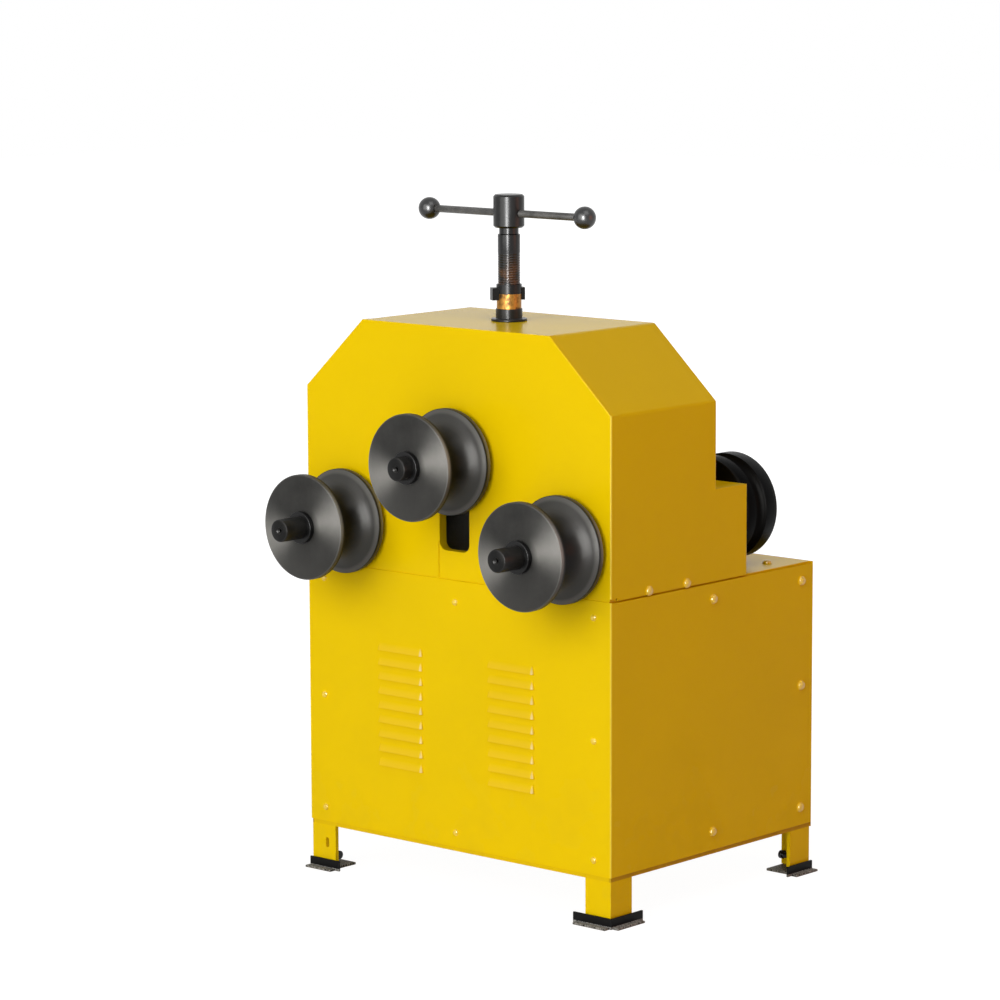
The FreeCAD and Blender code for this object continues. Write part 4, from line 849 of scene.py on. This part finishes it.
class RollerScrew(bpy.types.Operator):
    """Cut the press screw's thread, and dress its hub, bar, knobs, ring, nut and seal"""

    bl_idname = "roller.screw"
    bl_label = "Press screw"

    def execute(self, context):
        sizes = context.scene.roller_sizes
        self.screw(sizes.thread_pitch, sizes.thread_depth)
        self.hub()
        self.bar()
        self.ring()
        self.neck()
        return {"FINISHED"}

    def screw(self, pitch, depth):
        """A core with a plain collar and neck, and the thread laid round it."""
        low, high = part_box("press_screw")
        centre = middle("press_screw")
        length = high.z - low.z
        flange, flange_top = (high.x - low.x) / 2, 8 * MM
        core, neck = SCREW_CREST - depth - 0.2 * MM, SCREW_CREST - 2.3 * MM
        hub_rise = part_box("screw_hub")[0].z - low.z
        thread_from, plain_under_hub = 26 * MM, 38 * MM
        turns = int((hub_rise - plain_under_hub - thread_from) / pitch)
        thread_to = thread_from + turns * pitch
        profile = [(0, 0), (flange, 0), (flange, flange_top), (SCREW_CREST, flange_top),
                   (SCREW_CREST, thread_from), (core, thread_from), (core, thread_to - pitch),
                   (SCREW_CREST, thread_to), (SCREW_CREST, hub_rise - 11 * MM),
                   (neck, hub_rise - 9.6 * MM), (neck, length), (0, length)]
        obj = turned(profile, Vector((centre.x, centre.y, low.z)), "Z", SMALL_STEPS)
        thread = thread_rod(low.z + thread_from - pitch, turns, depth, pitch, centre)
        finish_piece(joined(obj, thread), "threaded_screw", "press_screw",
                     screw_material(), ["press_screw"])

    def hub(self):
        obj = rounded_copy("screw_hub", 0.8 * MM, degrees=34)
        steel = oxide_material("hub_oxide", middle("screw_hub"), 0.3)
        finish_piece(obj, "turned_hub", "press_screw", steel, ["screw_hub"])

    def bar(self):
        """The cross bar from ball to ball, and the two balls."""
        knob_low, knob_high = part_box("ball_knobs")
        centre = (knob_low + knob_high) / 2
        radius = (knob_high.z - knob_low.z) / 2
        ends = (Vector((knob_low.x + radius, knob_low.y + radius, centre.z)),
                Vector((knob_high.x - radius, knob_high.y - radius, centre.z)))
        bar_low, bar_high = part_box("tommy_bar")
        bar_radius = (bar_high.z - bar_low.z) / 2
        span = ends[1] - ends[0]
        direction = span.normalized()
        deselect()
        bpy.ops.mesh.primitive_cylinder_add(
            vertices=48, radius=bar_radius, depth=span.length, location=centre,
            rotation=direction.to_track_quat("Z", "Y").to_euler())
        obj = smooth(bevelled(bpy.context.object, 0.6 * MM))
        steel = turned_steel_material("bar_steel", centre, "X", BAR_STEEL)
        finish_piece(obj, "cross_bar", "tommy_bar", steel, ["tommy_bar"])
        shine = oxide_material("knob_oxide", centre, 0.6)
        for side, end, inward in (("left", ends[0], direction), ("right", ends[1], -direction)):
            knob = self.knob(radius, bar_radius, end, inward)
            finish_piece(knob, f"ball_knob_{side}", "tommy_bar", shine,
                         ["ball_knobs"])

    def knob(self, radius, bar_radius, end, inward):
        """A ball with a flat round its bore, where the bar screws in."""
        bore, flat = bar_radius + 0.1 * MM, bar_radius + 2.5 * MM
        start = math.asin(flat / radius)
        flat_at = radius * math.cos(start)
        profile = [(bore, flat_at - 1 * MM), (bore, flat_at)]
        count = 40
        for step in range(count + 1):
            angle = start + (math.pi - start) * step / count
            profile.append((radius * math.sin(angle), radius * math.cos(angle)))
        return stood(turned(profile, Vector((0, 0, 0)), "Z", SMALL_STEPS), end, inward)

    def ring(self):
        obj = rounded_copy("lock_ring", 1.2 * MM, segments=3, degrees=34)
        finish_piece(obj, "lugged_ring", "lock_ring",
                     oxide_material("ring_oxide", middle("lock_ring")), ["lock_ring"])

    def neck(self):
        """The nut's finish, and the black ring round it."""
        dress(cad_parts["press_nut"], bronze_material())
        obj = rounded_copy("screw_seal", 0.8 * MM, degrees=34)
        finish_piece(obj, "rubber_seal", "frame", rubber_material(),
                     ["screw_seal"])


def head_profile(radius, height):
    """Half section of a domed screw head from its top: a full dome on a thin washer face."""
    washer, dome_radius, count = height * 0.22, radius * 0.9, 10
    dome = [(0, height)]
    for step in range(1, count + 1):
        angle = math.pi / 2 * step / count
        dome.append((dome_radius * math.sin(angle) ** 0.9,
                     washer + (height - washer) * math.cos(angle) ** 0.8))
    return [*dome, (radius, washer * 0.8), (radius, 0)]


class RollerFasteners(bpy.types.Operator):
    """Make the painted pan heads of the front panel and the dome heads of the sides"""

    bl_idname = "roller.fasteners"
    bl_label = "Fasteners"

    def execute(self, context):
        paint = enamel_material("head_enamel", gloss=0.8, rough_from=0.1)
        jobs = (("front_panel_screws", "pan_heads"), ("side_panel_screws", "dome_heads"),
                ("cover_screws", "cover_heads"))
        for node, name in jobs:
            heads = joined(*[self.head(*found) for found in islands(node)])
            finish_piece(heads, name, "frame", paint, [node])
        return {"FINISHED"}

    def head(self, low, high):
        """A domed head that fills one fastener's box, standing on the face behind it."""
        size = high - low
        centre = (low + high) / 2
        axis = min(range(3), key=lambda index: size[index])
        height = size[axis]
        inside = Vector((0, (CAD_BOX[0][1] + CAD_BOX[1][1]) / 2, 300 * MM))
        out = Vector((0, 0, 0))
        out[axis] = 1 if centre[axis] > inside[axis] else -1
        head = turned(head_profile(max(size) / 2, height), Vector((0, 0, 0)), "Z", steps=28)
        return stood(head, centre - out * height / 2, out)


def islands(node):
    """The box of each separate solid of a node."""
    mesh = bmesh.new()
    mesh.from_mesh(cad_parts[node].data)
    bmesh.ops.remove_doubles(mesh, verts=mesh.verts, dist=0.005 * MM)
    apart = set(mesh.verts)
    found = []
    while apart:
        waiting = [apart.pop()]
        solid = list(waiting)
        while waiting:
            vertex = waiting.pop()
            for edge in vertex.link_edges:
                other = edge.other_vert(vertex)
                if other in apart:
                    apart.remove(other)
                    waiting.append(other)
                    solid.append(other)
        axes = list(zip(*(vertex.co for vertex in solid)))
        found.append((Vector([min(axis) for axis in axes]), Vector([max(axis) for axis in axes])))
    mesh.free()
    return sorted(found, key=lambda box: tuple(round(number, 4) for number in box[0]))


class RollerWorks(bpy.types.Operator):
    """Give the inner works, the pegs and the gland their finishes"""

    bl_idname = "roller.works"
    bl_label = "Inner works"

    def execute(self, context):
        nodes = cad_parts
        plate = bright_steel_material("ground_plate", PLATE_STEEL, grain_axis=0)
        chain = bright_steel_material("chain_steel", CHAIN_STEEL, grain_axis=1, rough_from=0.35)
        enamel = casting_material("motor_enamel", MOTOR_PAINT)
        finishes = (
            (plate, ("slide_block", "guide_rails", "bridge_plate", "rear_bearing_plate",
                     "peg_bracket", "motor_shelf", "front_bearing_housings",
                     "rear_bearing_housings")),
            (chain, ("lower_left_sprocket", "lower_right_sprocket", "drive_sprocket",
                     "drive_chain", "lower_bearings", "slide_bearings", "output_shaft")),
            (enamel, ("motor", "motor_fan_cover", "control_box")),
            (oxide_material("cap_oxide"), ("thrust_cap",)),
            (casting_material("gearbox_paint", GEARBOX_PAINT), ("gearbox",)),
        )
        for material, worn_by in finishes:
            for node in worn_by:
                dress(nodes[node], material)
        pegs = rounded_copy("storage_pegs", 0.9 * MM, degrees=34)
        finish_piece(pegs, "turned_pegs", "frame", oxide_material("peg_oxide"),
                     ["storage_pegs"])
        gland = rounded_copy("cable_gland", 0.7 * MM, degrees=34)
        finish_piece(gland, "cord_gland", "frame",
                     bpy.data.materials["black_rubber"], ["cable_gland"])
        return {"FINISHED"}


# ------------------------------------------------------------------ stage
CAMERA_TARGET = Vector((-56.9 * MM, FRONT_Y + 174.1 * MM, 621.8 * MM))
CAMERA_AZIMUTH, CAMERA_ELEVATION, CAMERA_ROLL = 41.48, 8.45, -0.20      # degrees
CAMERA_DISTANCE, CAMERA_REACH = 6.536, 60.0                             # metres
CAMERA_LENS, CAMERA_SENSOR = 144.0, 36.0                                # millimetres


def camera_pose():
    """Where the camera stands and which way it looks, from its angles round the target."""
    azimuth, elevation = math.radians(CAMERA_AZIMUTH), math.radians(CAMERA_ELEVATION)
    roll = math.radians(CAMERA_ROLL)
    level = math.cos(elevation)
    forward = Vector((-math.sin(azimuth) * level, math.cos(azimuth) * level, -math.sin(elevation)))
    right = forward.cross(Vector((0, 0, 1))).normalized()
    up = right.cross(forward)
    right, up = (right * math.cos(roll) + up * math.sin(roll),
                 up * math.cos(roll) - right * math.sin(roll))
    turn = Matrix((right, up, -forward)).transposed()
    return Matrix.Translation(CAMERA_TARGET - forward * CAMERA_DISTANCE) @ turn.to_4x4()


class RollerStage(bpy.types.Operator):
    """Set the pale floor, the soft studio lights and the camera"""

    bl_idname = "roller.stage"
    bl_label = "Stage"

    def execute(self, context):
        self.floor()
        self.world(context.scene)
        self.lamp("front_key", (0, -4.7, 1.9), aim=0.6, size=4.5, power=205,
                  colour=(1.0, 0.99, 0.97))
        self.lamp("top_right", (2.2, -1.0, 4.4), aim=0.9, size=2.6, power=52)
        self.lamp("side_warm", (4.2, 1.0, 1.4), aim=0.6, size=2.4, power=27,
                  colour=(1.0, 0.23, 0.04))
        fill = self.lamp("rear_fill", (-2.6, 4.3, 1.2), aim=0.6, size=3.0, power=110,
                         colour=(1.0, 0.98, 0.95))
        fill.visible_glossy = False
        strip = self.lamp("highlight", (1.9, -3.8, 1.4), aim=0.8, size=1.0, power=420)
        strip.data.shape = "RECTANGLE"
        strip.data.size_y = 2.8
        strip.visible_diffuse = False
        self.camera(context.scene)
        context.scene.view_settings.view_transform = "Standard"
        return {"FINISHED"}

    def floor(self):
        """A floor that shows white, and darker only where the machine's shadow falls."""
        across, drop = 30, 0.2 * MM
        deselect()
        bpy.ops.mesh.primitive_plane_add(size=across, location=(0, 0, -drop))
        obj = bpy.context.object
        obj.name = "floor"
        shade = Shade("pale_floor", Base_Color=(0.5, 0.5, 0.5, 1), Roughness=0.9)
        x, y, _ = shade.parts(shade.place())
        away = (x * x + y * y).maths("SQRT").between(0.5, 1.5)
        glow = shade.add("ShaderNodeEmission", {}, {"Strength": 1.18})
        lit = Value(shade, shade.surface.outputs[0])
        seen = shade.add("ShaderNodeMixShader", {}, {0: away * 0.18 + 0.82, 1: lit, 2: glow})
        shade.show(shade.white_to_view(seen, lit))
        dress(obj, shade.material)

    def world(self, scene):
        """A studio that looks white and gives little light of its own."""
        world = bpy.data.worlds.new("studio")
        scene.world = world
        world.use_nodes = True
        graph = Graph(world.node_tree)
        lit = graph.add("ShaderNodeBackground", {}, {"Color": (0.96, 0.98, 1.0), "Strength": 0.06})
        seen = graph.add("ShaderNodeBackground", {}, {"Color": (1, 1, 1), "Strength": 1})
        graph.show(graph.white_to_view(seen, lit), "World Output")

    def lamp(self, name, place, aim, size, power, colour=(1, 1, 1)):
        """A square lamp that points at the height of its aim, in metres; power is in watts."""
        deselect()
        bpy.ops.object.light_add(type="AREA", location=place)
        lamp = bpy.context.object
        lamp.name = name
        beam = Vector((0, 0, aim)) - Vector(place)
        lamp.rotation_euler = beam.to_track_quat("-Z", "Y").to_euler()
        lamp.data.size = size
        lamp.data.energy = power
        lamp.data.color = colour
        return lamp

    def camera(self, scene):
        data = bpy.data.cameras.new("view")
        data.lens = CAMERA_LENS
        data.sensor_width = CAMERA_SENSOR
        data.clip_end = CAMERA_REACH
        obj = bpy.data.objects.new("view", data)
        scene.collection.objects.link(obj)
        obj.matrix_world = camera_pose()
        scene.camera = obj


class RollerPanel(bpy.types.Panel):
    """Shows the ring roller's sizes, colours and building steps in the sidebar"""

    bl_idname = "VIEW3D_PT_ring_roller"
    bl_label = "Ring Roller"
    bl_space_type = "VIEW_3D"
    bl_region_type = "UI"
    bl_category = "Ring Roller"

    def draw(self, context):
        for group in (context.scene.roller_sizes, context.scene.roller_colours):
            for name in group.__annotations__:
                self.layout.prop(group, name)
        for operator in OPERATORS:
            self.layout.operator(operator.bl_idname)


OPERATORS = (RollerStage, RollerCovers, RollerShoes, RollerRolls, RollerShafts, RollerScrew,
             RollerFasteners, RollerWorks)
CLASSES = (RollerSizes, RollerColours, *OPERATORS, RollerPanel)


def register():
    for item in CLASSES:
        bpy.utils.register_class(item)
    bpy.types.Scene.roller_sizes = PointerProperty(type=RollerSizes)
    bpy.types.Scene.roller_colours = PointerProperty(type=RollerColours)


def unregister():
    del bpy.types.Scene.roller_colours
    del bpy.types.Scene.roller_sizes
    for item in reversed(CLASSES):
        bpy.utils.unregister_class(item)


def main():
    register()
    bpy.ops.roller.stage()
    bpy.ops.roller.covers()
    bpy.ops.roller.shoes()
    bpy.ops.roller.rolls()
    bpy.ops.roller.shafts()
    bpy.ops.roller.screw()
    bpy.ops.roller.fasteners()
    bpy.ops.roller.works()


if __name__ == "__main__":
    main()
